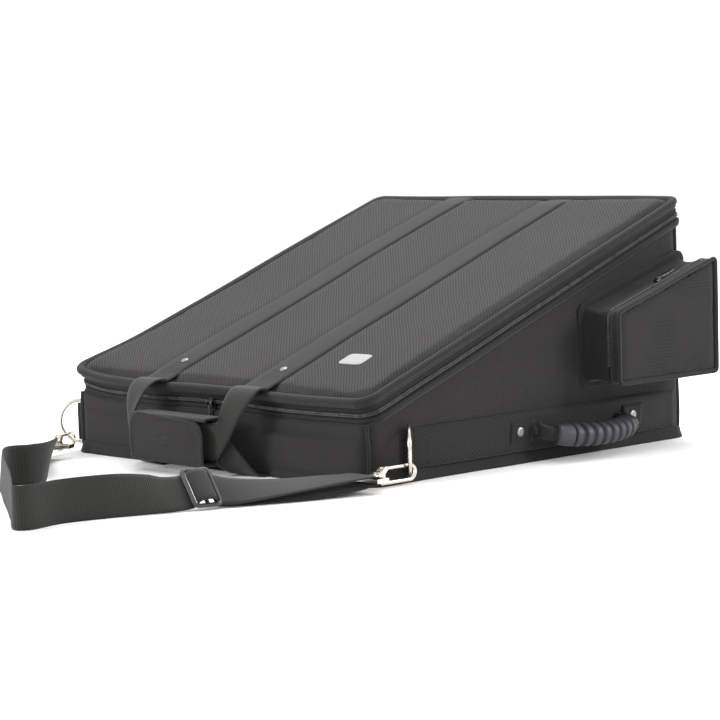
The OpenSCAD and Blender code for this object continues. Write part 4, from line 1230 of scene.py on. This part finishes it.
class BAG_OT_side_handle(bpy.types.Operator):
    """Builds the moulded grip on its webbing, with riveted patches"""

    bl_idname = "bag.side_handle"
    bl_label = "Side Handle"

    def execute(self, context):
        joint = JOINTS["side_handle_swing"]
        axis_x, mid_y, axis_z = joint["pos_m"]
        turn = math.radians(15)
        half, reach, sag = 56 * MM, 30 * MM, 12 * MM
        bend_r = (half ** 2 + sag ** 2) / (2 * sag)
        limit = math.asin(half / bend_r)

        def at(out, along, up):
            """A point in the handle's own plane: outward, along the bag, and off the plane."""
            x = out * math.cos(turn) + up * math.sin(turn)
            z = -out * math.sin(turn) + up * math.cos(turn)
            return np.stack([axis_x + x, mid_y + along, axis_z + z], -1)

        angles = np.linspace(-limit, limit, 181)
        out = reach - bend_r + bend_r * np.cos(angles)
        along = bend_r * np.sin(angles)
        zero = np.zeros_like(angles)
        path = at(out, along, zero)
        outward = at(np.cos(angles), np.sin(angles), zero) - at(zero, zero, zero)
        upward = at(zero, zero, zero + 1) - at(zero, zero, zero)
        share = np.linspace(-1, 1, 181)
        ribs = np.clip(np.abs(np.sin((share + 0.72) * math.pi * 5.0)) * 2.4 - 0.75, 0, 1)
        body = np.where((share > -0.72) & (share < 0.88), 8.0 + 3.9 * ribs, 11.7)
        body = body * (1 - 0.16 * np.abs(share) ** 8)
        body = np.where(np.abs(share) > 0.985, body * 0.9, body) * MM
        profile = circle_profile(1.0, 28)
        profile = np.stack([np.sign(profile[:, 0]) * np.abs(profile[:, 0]) ** 0.85,
                            np.sign(profile[:, 1]) * np.abs(profile[:, 1]) ** 0.85 * 0.96], -1)
        shape = profile[None] * body[:, None, None]
        grip = sweep("grip", path, outward, upward, shape)
        place("grip_moulding", grip, "Moulded Grip", "side_handle", ("side_handle_grip",))

        loops = []
        for side in (-1, 1):
            stations = [(1.0, 65, 5.0), (3.0, 65, 5.2), (9, 62.5, 5.0),
                        (reach / MM - sag / MM - 4, 58.5, 4.4),
                        (reach / MM - sag / MM, 54, 3.8)]
            centre = smooth_line(np.array([(o * MM, side * a * MM, h * MM) for o, a, h in stations]),
                                 1.2 * MM)
            line = at(centre[:, 0], centre[:, 1], centre[:, 2] * 0)
            tangent = unit(np.gradient(line, axis=0))
            wide = np.broadcast_to(at(np.array(0.0), np.array(0.0), np.array(1.0)) - at(*np.zeros(3)),
                                   line.shape)
            flat = unit(np.cross(tangent, wide))
            width = np.interp(np.linspace(0, 1, len(line)), [0, 0.4, 1], [8.5 * MM, 7.0 * MM, 6.0 * MM])
            depth = np.interp(np.linspace(0, 1, len(line)), [0, 0.3, 1], [3.4 * MM, 4.8 * MM, 5.2 * MM])
            ring = circle_profile(1.0, 16)
            ring = np.sign(ring) * np.abs(ring) ** 0.7
            shape = np.stack([ring[None, :, 0] * depth[:, None], ring[None, :, 1] * width[:, None]], -1)
            loops.append(sweep("loop", line, flat, wide, shape))
            knuckle = at(np.zeros(9), side * 65 * MM + np.linspace(-7, 7, 9) * MM, np.zeros(9))
            loops.append(tube("knuckle", knuckle, 4.6 * MM, 14))
        place("grip_webbing", loops, "Ribbed Webbing", "side_handle",
              ("side_handle_webbing",))

        patches, heads, rows = [], [], []
        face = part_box("handle_patches")[1].x
        for side in (-1, 1):
            middle = mid_y + side * 84 * MM
            ys = np.linspace(middle - 16 * MM, middle + 16 * MM, 12)
            lift = 2.2 * MM * ramp(-side * (ys - middle), 4 * MM, 16 * MM)
            base = np.stack([face + 1.9 * MM + lift * 0.6, ys, np.full(12, axis_z)], -1)
            skew = np.array([0, -1.5 * MM, 0])
            patches.append(webbing("patch", base - np.array([0, 0, 11 * MM]) + skew,
                                   base + np.array([0, 0, 11 * MM]) - skew, 1.8 * MM, 6))
            heads.append(rivet_head(np.array([face + 2.8 * MM, middle + side * 2 * MM, axis_z]), (1, 0, 0),
                                    5 * MM))
            rows.append((np.array([[face + 2.9 * MM, y, axis_z + k * 8.6 * MM] for k in (-1, 1)
                                   for y in (middle + k * 13 * MM, middle - k * 13 * MM)]), np.array([1.0,
                                   0, 0])))
        place("grip_patches", patches, "Sewn Webbing", "bag",
              ("handle_patches",))
        place("grip_rivet_heads", heads, "Rivet Steel", "bag",
              ("handle_rivets",))
        return {"FINISHED"}


def pocket_outline(grow, radius, step=5 * MM):
    """The pocket's side view as a closed line of (along, up) points with rounded corners, grown outwards."""
    lo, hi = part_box("pocket_front")
    run = hi.y - lo.y
    rise = run * math.tan(POCKET_SLOPE)
    corners = [(lo.y, lo.z), (hi.y, lo.z), (hi.y, hi.z), (lo.y, hi.z - rise)]
    points = []
    for i, corner in enumerate(corners):
        here = np.array(corner)
        before, after = np.array(corners[i - 1]), np.array(corners[(i + 1) % 4])
        a, b = unit(before - here), unit(after - here)
        start, end = here + a * radius, here + b * radius
        for t in np.linspace(0, 1, 7):
            points.append((1 - t) ** 2 * start + 2 * t * (1 - t) * here + t * t * end)
        stop = after - b * radius
        n = max(2, int(np.linalg.norm(stop - end) / step))
        points += [end + (stop - end) * k / n for k in range(1, n)]
    points = np.array(points)
    tangent = unit(np.roll(points, -1, 0) - np.roll(points, 1, 0))
    normals = np.stack([tangent[:, 1], -tangent[:, 0]], -1)
    return points + normals * grow, normals


def upright(x, line):
    """A line of (along, up) points stood in the plane at x."""
    return np.stack([np.full(len(line), x), line[:, 0], line[:, 1]], -1)


def pocket_rings(layers, radius=7 * MM, sag=0.0, seed=20):
    """Rings of the pocket's outline at (x, grow) layers, with soft dents on the way."""
    rings = []
    for x, grow in layers:
        line, normals = pocket_outline(grow, radius)
        ring = upright(x, line)
        away = upright(0.0, normals)
        dent = ripple(ring, 17.0, seed) * sag
        rings.append(ring + away * dent[:, None])
    return np.stack(rings, 1)


class BAG_OT_pocket(bpy.types.Operator):
    """Builds the zipped side pocket: flange, gusset, zip, crowned face and its bound edges"""

    bl_idname = "bag.pocket"
    bl_label = "Side Pocket"

    def execute(self, context):
        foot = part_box("pocket_gusset")[0].z
        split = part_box("pocket_zip_fixed")[0].x
        x0, x_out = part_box("pocket_back")[0].x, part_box("pocket_front")[1].x
        layers_out = [(x0 + 2.2 * MM, 0.5 * MM), (x0 + 6 * MM, 0.4 * MM), (x0 + 9 * MM, -0.8 * MM),
                      (x0 + 14 * MM, -2.0 * MM), (x0 + 19 * MM, -2.6 * MM), (x0 + 24 * MM, -2.2 * MM),
                      (x0 + 29 * MM, -1.2 * MM), (x0 + 34 * MM, -0.2 * MM), (split - 0.3 * MM, 0.5 * MM)]
        layers_in = [(x, g - 2.2 * MM) for x, g in reversed(layers_out)]
        wall = grid_mesh("pocket_walls", pocket_rings(layers_out + layers_in, sag=2.4 * MM), ring_u=True,
                         ring_v=True)
        place("pocket_walls", wall, "Pocket Cloth", "bag", ("pocket_gusset",))

        line, normals = pocket_outline(7.5 * MM, 3 * MM)
        plate = [(x0 + 0.3 * MM, 0.0), (x0 + 4.6 * MM, 0.0), (x0 + 5.6 * MM, -0.8 * MM),
                 (x0 + 5.2 * MM, -7 * MM),
                 (x0 + 4.6 * MM, -40 * MM), (x0 + 0.3 * MM, -40 * MM)]
        rings = []
        for x, grow in plate:
            ring = upright(x, line + normals * grow)
            if grow < -30 * MM:
                centre = ring.mean(axis=0)
                ring = centre + (upright(x, line) - centre) * 0.3
                ring[:, 0] = x
            rings.append(ring)
        flange = grid_mesh("pocket_flange", np.stack(rings, 1), ring_u=True)
        close_holes(flange)
        place("pocket_flange", flange, "Pocket Cloth", "bag", ("pocket_back",))

        tapes_out = [(split - 0.2 * MM, -0.6 * MM), (split + 0.7 * MM, -0.5 * MM),
                     (split + 0.7 * MM, -2.2 * MM),
                     (split - 0.2 * MM, -2.2 * MM)]
        fixed = grid_mesh("tape", pocket_rings(tapes_out), ring_u=True, ring_v=True)
        place("pocket_tape_fixed", fixed, "Zip Tape", "bag", ("pocket_zip_fixed",))
        shift = 2.0 * MM
        moving = grid_mesh("tape", pocket_rings([(x + shift, g) for x, g in tapes_out]), ring_u=True,
                           ring_v=True)
        place("pocket_tape_moving", moving, "Zip Tape", "pocket_flap", ("pocket_zip_moving",))
        line, normals = pocket_outline(0.7 * MM, 7 * MM)
        high = line[:, 1] > foot + 16 * MM
        first = int(np.argmax(high & ~np.roll(high, 1)))
        order = [(first + i) % len(line) for i in range(len(line)) if high[(first + i) % len(line)]]
        for name, x, body in (("pocket_coil_fixed", split + 0.6 * MM, "bag"),
                              ("pocket_coil_moving", split + 2.1 * MM, "pocket_flap")):
            run, away = upright(x, line[order]), upright(0.0, normals[order])
            beads(name, [(run, away)], 1.6 * MM, (1.1 * MM, 1.3 * MM, 1.3 * MM), "Zip Coil", body)

        face_in = split + 2.9 * MM
        skin = [(face_in, -2.4 * MM), (face_in, 0.2 * MM), (x_out - 8 * MM, 0.5 * MM),
                (x_out - 4 * MM, 0.6 * MM),
                (x_out - 3.2 * MM, 1.6 * MM), (x_out - 1.6 * MM, 2.6 * MM), (x_out - 0.2 * MM, 2.0 * MM),
                (x_out - 0.2 * MM, 0.2 * MM), (x_out - 1.2 * MM, -2.0 * MM), (x_out - 3.4 * MM, -2.6 * MM)]
        rim = grid_mesh("rim", pocket_rings(skin, radius=5 * MM, sag=0.7 * MM, seed=21), ring_u=True,
                        ring_v=True)
        place("pocket_rim", rim, "Pocket Cloth", "pocket_flap")
        self.face(x_out)
        outward = np.array([1.0, 0, 0])
        outline, _ = pocket_outline(1.2 * MM, 5 * MM)
        stitches("pocket_edge_stitches", [(closed_row(upright(x_out, outline)), outward)], "pocket_flap",
                 0.9, (2.2, 0.7, 0.5))
        outline, away = pocket_outline(4.2 * MM, 4 * MM, 3 * MM)
        wave = 1.6 * MM * (-1) ** np.arange(len(outline))
        ring = upright(x0 + 5.7 * MM, outline + away * wave[:, None])
        stitches("pocket_flange_stitches", [(closed_row(ring), outward)], "bag", 0.7,
                 (2.2, 0.6, 0.5))
        self.slider()
        return {"FINISHED"}

    @staticmethod
    def face(x_out):
        outline, _ = pocket_outline(-0.6 * MM, 5 * MM)
        rings = [upright(x, outline) for x in (x_out - 3.2 * MM, x_out - 0.6 * MM)]
        mesh = grid_mesh("pocket_face_base", np.stack(rings, 1), ring_u=True, recalc=False)
        close_holes(mesh)
        mesh = inflate("pocket_face", mesh, 2.8 * MM, 3.0, 2.2 * MM, 16)
        pts = get_points(mesh)
        front = pts[:, 0] > x_out - 1.9 * MM
        pts[:, 0] += np.where(front, ripple(pts, 13.0, 22) * 1.1 * MM - 0.5 * MM, 0)
        set_points(mesh, pts)
        pad = place("pocket_face", mesh, "Pocket Face Cloth", "pocket_flap", ("pocket_front",))

    @staticmethod
    def slider():
        slope = Matrix.Rotation(POCKET_SLOPE, 4, "X")
        lo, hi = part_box("pocket_slider")
        centre = ((lo.x + hi.x) / 2, (lo.y + hi.y) / 2, (lo.z + hi.z) / 2 - 0.6 * MM)
        body = block("body", (6.6 * MM, 7.6 * MM, 2.4 * MM), centre, 0.9 * MM, slope)
        place("pocket_slider_body", body, "Zip Enamel", "pocket_slider", ("pocket_slider",))
        start = np.array(JOINTS["pocket_pull_swing"]["pos_m"])
        along = np.array([0, math.cos(POCKET_SLOPE), math.sin(POCKET_SLOPE)])
        stations = [(0, 1.6), (4, 1.5), (6.5, 2.4), (12, 3.0), (22, 3.1), (27.5, 2.3)]
        spans = smooth_line(np.array([(s * MM, w * MM, 0) for s, w in stations]), 1.0 * MM)
        middle = start + along * spans[:, :1]
        half_wide = np.array([1.0, 0, 0]) * spans[:, 1:2]
        pull = webbing("pull", middle - half_wide, middle + half_wide, 1.3 * MM, 8)
        axle = tube("axle", np.array([start + np.array([k * MM, 0, 0]) for k in (-2.3, 0, 2.3)]), 0.9 * MM,
                    10)
        place("pocket_pull_tab", [pull, axle], "Zip Enamel", "pocket_pull",
              ("pocket_pull",))


class BAG_OT_fittings(bpy.types.Operator):
    """Gives the rings, snap hooks, gates, pins and swivel loops their nickel plate"""

    bl_idname = "bag.fittings"
    bl_label = "Rings and Hooks"

    def execute(self, context):
        for side in ("right", "left"):
            for node in ("d_ring_", "hook_", "hook_gate_", "gate_pin_", "hook_base_"):
                mesh = NODES[node + side].data
                mesh.materials.clear()
                mesh.materials.append(bpy.data.materials["Nickel Plate"])
        return {"FINISHED"}


def strap_edges(stations):
    """Edge lines in metres from (x, y, z, heading, lean) stations in millimetres and degrees."""
    low, high = [], []
    for x, y, z, heading, lean in stations:
        a, e = math.radians(heading), math.radians(lean)
        low.append((x * MM, y * MM, z * MM))
        high.append(((x + 40 * math.cos(e) * math.cos(a)) * MM, (y + 40 * math.cos(e) * math.sin(a)) * MM,
                     (z + 40 * math.sin(e)) * MM))
    return low, high


STRAP_RUN = [
    (-227, -301, 12.6, 31, 0), (-212, -326, 7, 36, 10), (-180, -345, 2.5, 42, 30), (-135, -362, 1.2, 50, 52),
    (-95, -378, 1.2, 75, 70), (-66, -398, 1.2, 110, 78), (-58, -418, 1.2, 137, 80), (-66, -438, 1.2, 150, 80),
    (-57, -458, 1.2, 60, 84), (-28, -477, 1.2, 50, 86), (10, -501, 1.2, 50, 87), (70, -538, 1.2, 50, 87),
    (118, -568, 1.2, 50, 88), (148, -588, 1.2, 20, 88), (164, -595, 1.2, -60, 88), (173, -583, 1.2, -150, 87),
    (168, -545, 1.2, 180, 86),
    (180, -498, 1.2, 165, 76), (191, -462, 1.2, 165, 58), (197, -444, 1.4, 165, 46),
    (201, -429, 2.2, 165, 42),
    (203.5, -421, 4.2, 165, 41),
]
RETURN_RUN = [
    (208.5, -403, 2.6, 165, 39), (211, -395, 1.4, 165, 38), (222, -372, 1.2, 168, 26),
    (245, -320, 1.6, 175, 10),
    (261, -275, 5.5, 180, 2), (265.5, -262, 8, 180, 0), (265.5, -253, 8.8, 180, 0),
    (265.5, -249.6, 12.6, 180, 0),
    (265.5, -253, 16.4, 180, 0), (265, -262, 16.6, 180, 0), (257, -290, 14.5, 177, 4),
    (242, -335, 9.5, 174, 13),
    (226, -375, 4.8, 168, 26), (215, -395, 3.6, 165, 36), (209.5, -405, 4.8, 165, 40),
]


STRAPS = (
    ("shoulder_web", STRAP_RUN, "shoulder_strap", (0.04, 0.697), "hook_base_left"),
    ("return_web", RETURN_RUN, "strap_return", (0.04, 0.325), "hook_base_right"),
)


class BAG_OT_shoulder_strap(bpy.types.Operator):
    """Builds the shoulder strap, its doubled end and the three-bar slide"""

    bl_idname = "bag.shoulder_strap"
    bl_label = "Shoulder Strap"

    def execute(self, context):
        for name, stations, node, cut, hook_base in STRAPS:
            low, high = strap_edges(stations)
            both = smooth_line(np.hstack([np.array(low), np.array(high)]), 2.5 * MM)
            mesh = webbing(name, both[:, :3], both[:, 3:], 1.7 * MM, 10, waver=0.5 * MM)
            points = get_points(mesh)
            points[:, 2] = np.maximum(points[:, 2], 0.2 * MM)
            set_points(mesh, points)
            strap = place(name, mesh, "Ribbed Webbing", "bag", (node,))
        self.slide()
        return {"FINISHED"}

    @staticmethod
    def slide():
        pts = node_points("strap_adjuster")
        centre = (pts.min(axis=0) + pts.max(axis=0)) / 2
        along = np.array([math.cos(math.radians(-17)) * math.cos(math.radians(40)),
                          math.sin(math.radians(-17)) * math.cos(math.radians(40)),
                          -math.sin(math.radians(40))])
        length = np.array([math.sin(math.radians(17)), math.cos(math.radians(17)), 0])
        off = np.cross(along, length)
        off = off * np.sign(off[2])
        centre = centre + off * 2.6 * MM
        parts = []
        path, normals = rounded_outline(22 * MM, -13 * MM, 13 * MM, 4 * MM, 4 * MM, 2 * MM)
        ring = centre + along * path[:, :1] + length * path[:, 1:]
        out = along * normals[:, :1] + length * normals[:, 1:]
        bar = circle_profile(1.0, 12)
        bar = np.stack([bar[:, 0] * 2.2 * MM, bar[:, 1] * 2.0 * MM], -1)
        parts.append(sweep("frame", ring, out, np.broadcast_to(off, out.shape), bar, closed=True))
        cross = centre + along * np.linspace(-21, 21, 12)[:, None] * MM - off * 0.4 * MM
        parts.append(tube("bar", cross, 2.0 * MM, 12))
        place("strap_slide", parts, "Moulded Slide", "bag",
              ("strap_adjuster",))
        hump = []
        for a in np.linspace(0, math.pi, 17):
            hump.append(centre - length * (9.5 * MM * math.cos(a))
                        + off * (0.2 + 6.4 * math.sin(a) ** 0.7) * MM)
        hump = np.array(hump)
        hump_web = webbing("hump", hump - along * 18 * MM, hump + along * 20.5 * MM, 1.7 * MM, 8)
        place("slide_web", hump_web, "Ribbed Webbing", "bag")


class BAG_OT_stage(bpy.types.Operator):
    """Sets the pale floor, soft studio light and the camera"""

    bl_idname = "bag.stage"
    bl_label = "Stage"

    def execute(self, context):
        scene = context.scene
        white = Shader("Studio White")
        vector = white.coords(False)
        tone = white.blend_colour(white.noise(vector, 2.0), (0.975, 0.975, 0.975), (0.985, 0.985, 0.985))
        white.finish(tone, None, 0.9, Specular_IOR_Level=0.1)
        mesh = bpy.data.meshes.new("studio_floor")
        reach = 14.0
        mesh.from_pydata([(-reach, -reach, 0), (reach, -reach, 0), (reach, reach, 0), (-reach, reach, 0)], [],
                         [(0, 1, 2, 3)])
        mesh.materials.append(white.material)
        floor = bpy.data.objects.new("studio_floor", mesh)
        scene.collection.objects.link(floor)
        world = bpy.data.worlds.new("Studio World")
        world.use_nodes = True
        world.node_tree.nodes["Background"].inputs["Color"].default_value = (1, 1, 1, 1)
        world.node_tree.nodes["Background"].inputs["Strength"].default_value = 1.05
        scene.world = world
        lights = (
            ("Overhead", (-0.5, 0.7, 2.2), (0, 0, 0.1), 1.8, 48.0),
            ("Front Left", (-1.0, -2.6, 1.1), (0, -0.1, 0.1), 0.9, 52.0),
            ("Right", (2.4, 1.5, 1.2), (0.2, 0, 0.1), 0.8, 42.0),
        )
        for name, spot, aim, size, power in lights:
            lamp = bpy.data.lights.new(name, "AREA")
            lamp.shape = "SQUARE"
            lamp.size = size
            lamp.energy = power
            obj = bpy.data.objects.new(name, lamp)
            scene.collection.objects.link(obj)
            obj.location = spot
            obj.rotation_mode = "QUATERNION"
            obj.rotation_quaternion = (Vector(aim) - Vector(spot)).to_track_quat("-Z", "Y")
        scene.view_settings.view_transform = "Standard"
        self.camera(scene)
        return {"FINISHED"}

    @staticmethod
    def camera(scene):
        azimuth, pitch, roll = (math.radians(a) for a in (47.3, 5.5, -1.7))
        forward = Vector((-math.sin(azimuth) * math.cos(pitch), math.cos(azimuth) * math.cos(pitch),
                          -math.sin(pitch)))
        level = Vector((math.cos(azimuth), math.sin(azimuth), 0))
        upright = level.cross(forward)
        right = level * math.cos(roll) + upright * math.sin(roll)
        up = upright * math.cos(roll) - level * math.sin(roll)
        data = bpy.data.cameras.new("Camera")
        data.sensor_width = 36
        data.lens = 125.08
        data.clip_end = 60
        camera = bpy.data.objects.new("Camera", data)
        matrix = Matrix((right, up, -forward)).transposed().to_4x4()
        matrix.translation = Vector((1.9694, -1.8439, 0.3519))
        camera.matrix_world = matrix
        scene.collection.objects.link(camera)
        scene.camera = camera


class BAG_PT_panel(bpy.types.Panel):
    """Lists the bag's pieces"""

    bl_idname = "BAG_PT_panel"
    bl_label = "Padded Carry Bag"
    bl_space_type = "VIEW_3D"
    bl_region_type = "UI"
    bl_category = "Bag"

    def draw(self, context):
        layout = self.layout
        for group in (context.scene.bag_finish, context.scene.bag_sizes):
            for key in group.__annotations__:
                layout.prop(group, key)
        for operator in OPERATORS:
            layout.operator(operator.bl_idname)


OPERATORS = (
    BAG_OT_finishes, BAG_OT_stage, BAG_OT_body, BAG_OT_lid, BAG_OT_zip, BAG_OT_carry_handles,
    BAG_OT_side_bands,
    BAG_OT_side_handle, BAG_OT_pocket, BAG_OT_fittings, BAG_OT_shoulder_strap,
)
CLASSES = (BagFinish, BagSizes, *OPERATORS, BAG_PT_panel)


def register():
    for cls in CLASSES:
        bpy.utils.register_class(cls)
    bpy.types.Scene.bag_finish = PointerProperty(type=BagFinish)
    bpy.types.Scene.bag_sizes = PointerProperty(type=BagSizes)


def unregister():
    del bpy.types.Scene.bag_finish
    del bpy.types.Scene.bag_sizes
    for cls in reversed(CLASSES):
        bpy.utils.unregister_class(cls)


def main():
    register()
    for operator in OPERATORS:
        group, name = operator.bl_idname.split(".")
        getattr(getattr(bpy.ops, group), name)()
    bpy.context.view_layer.update()


if __name__ == "__main__":
    main()
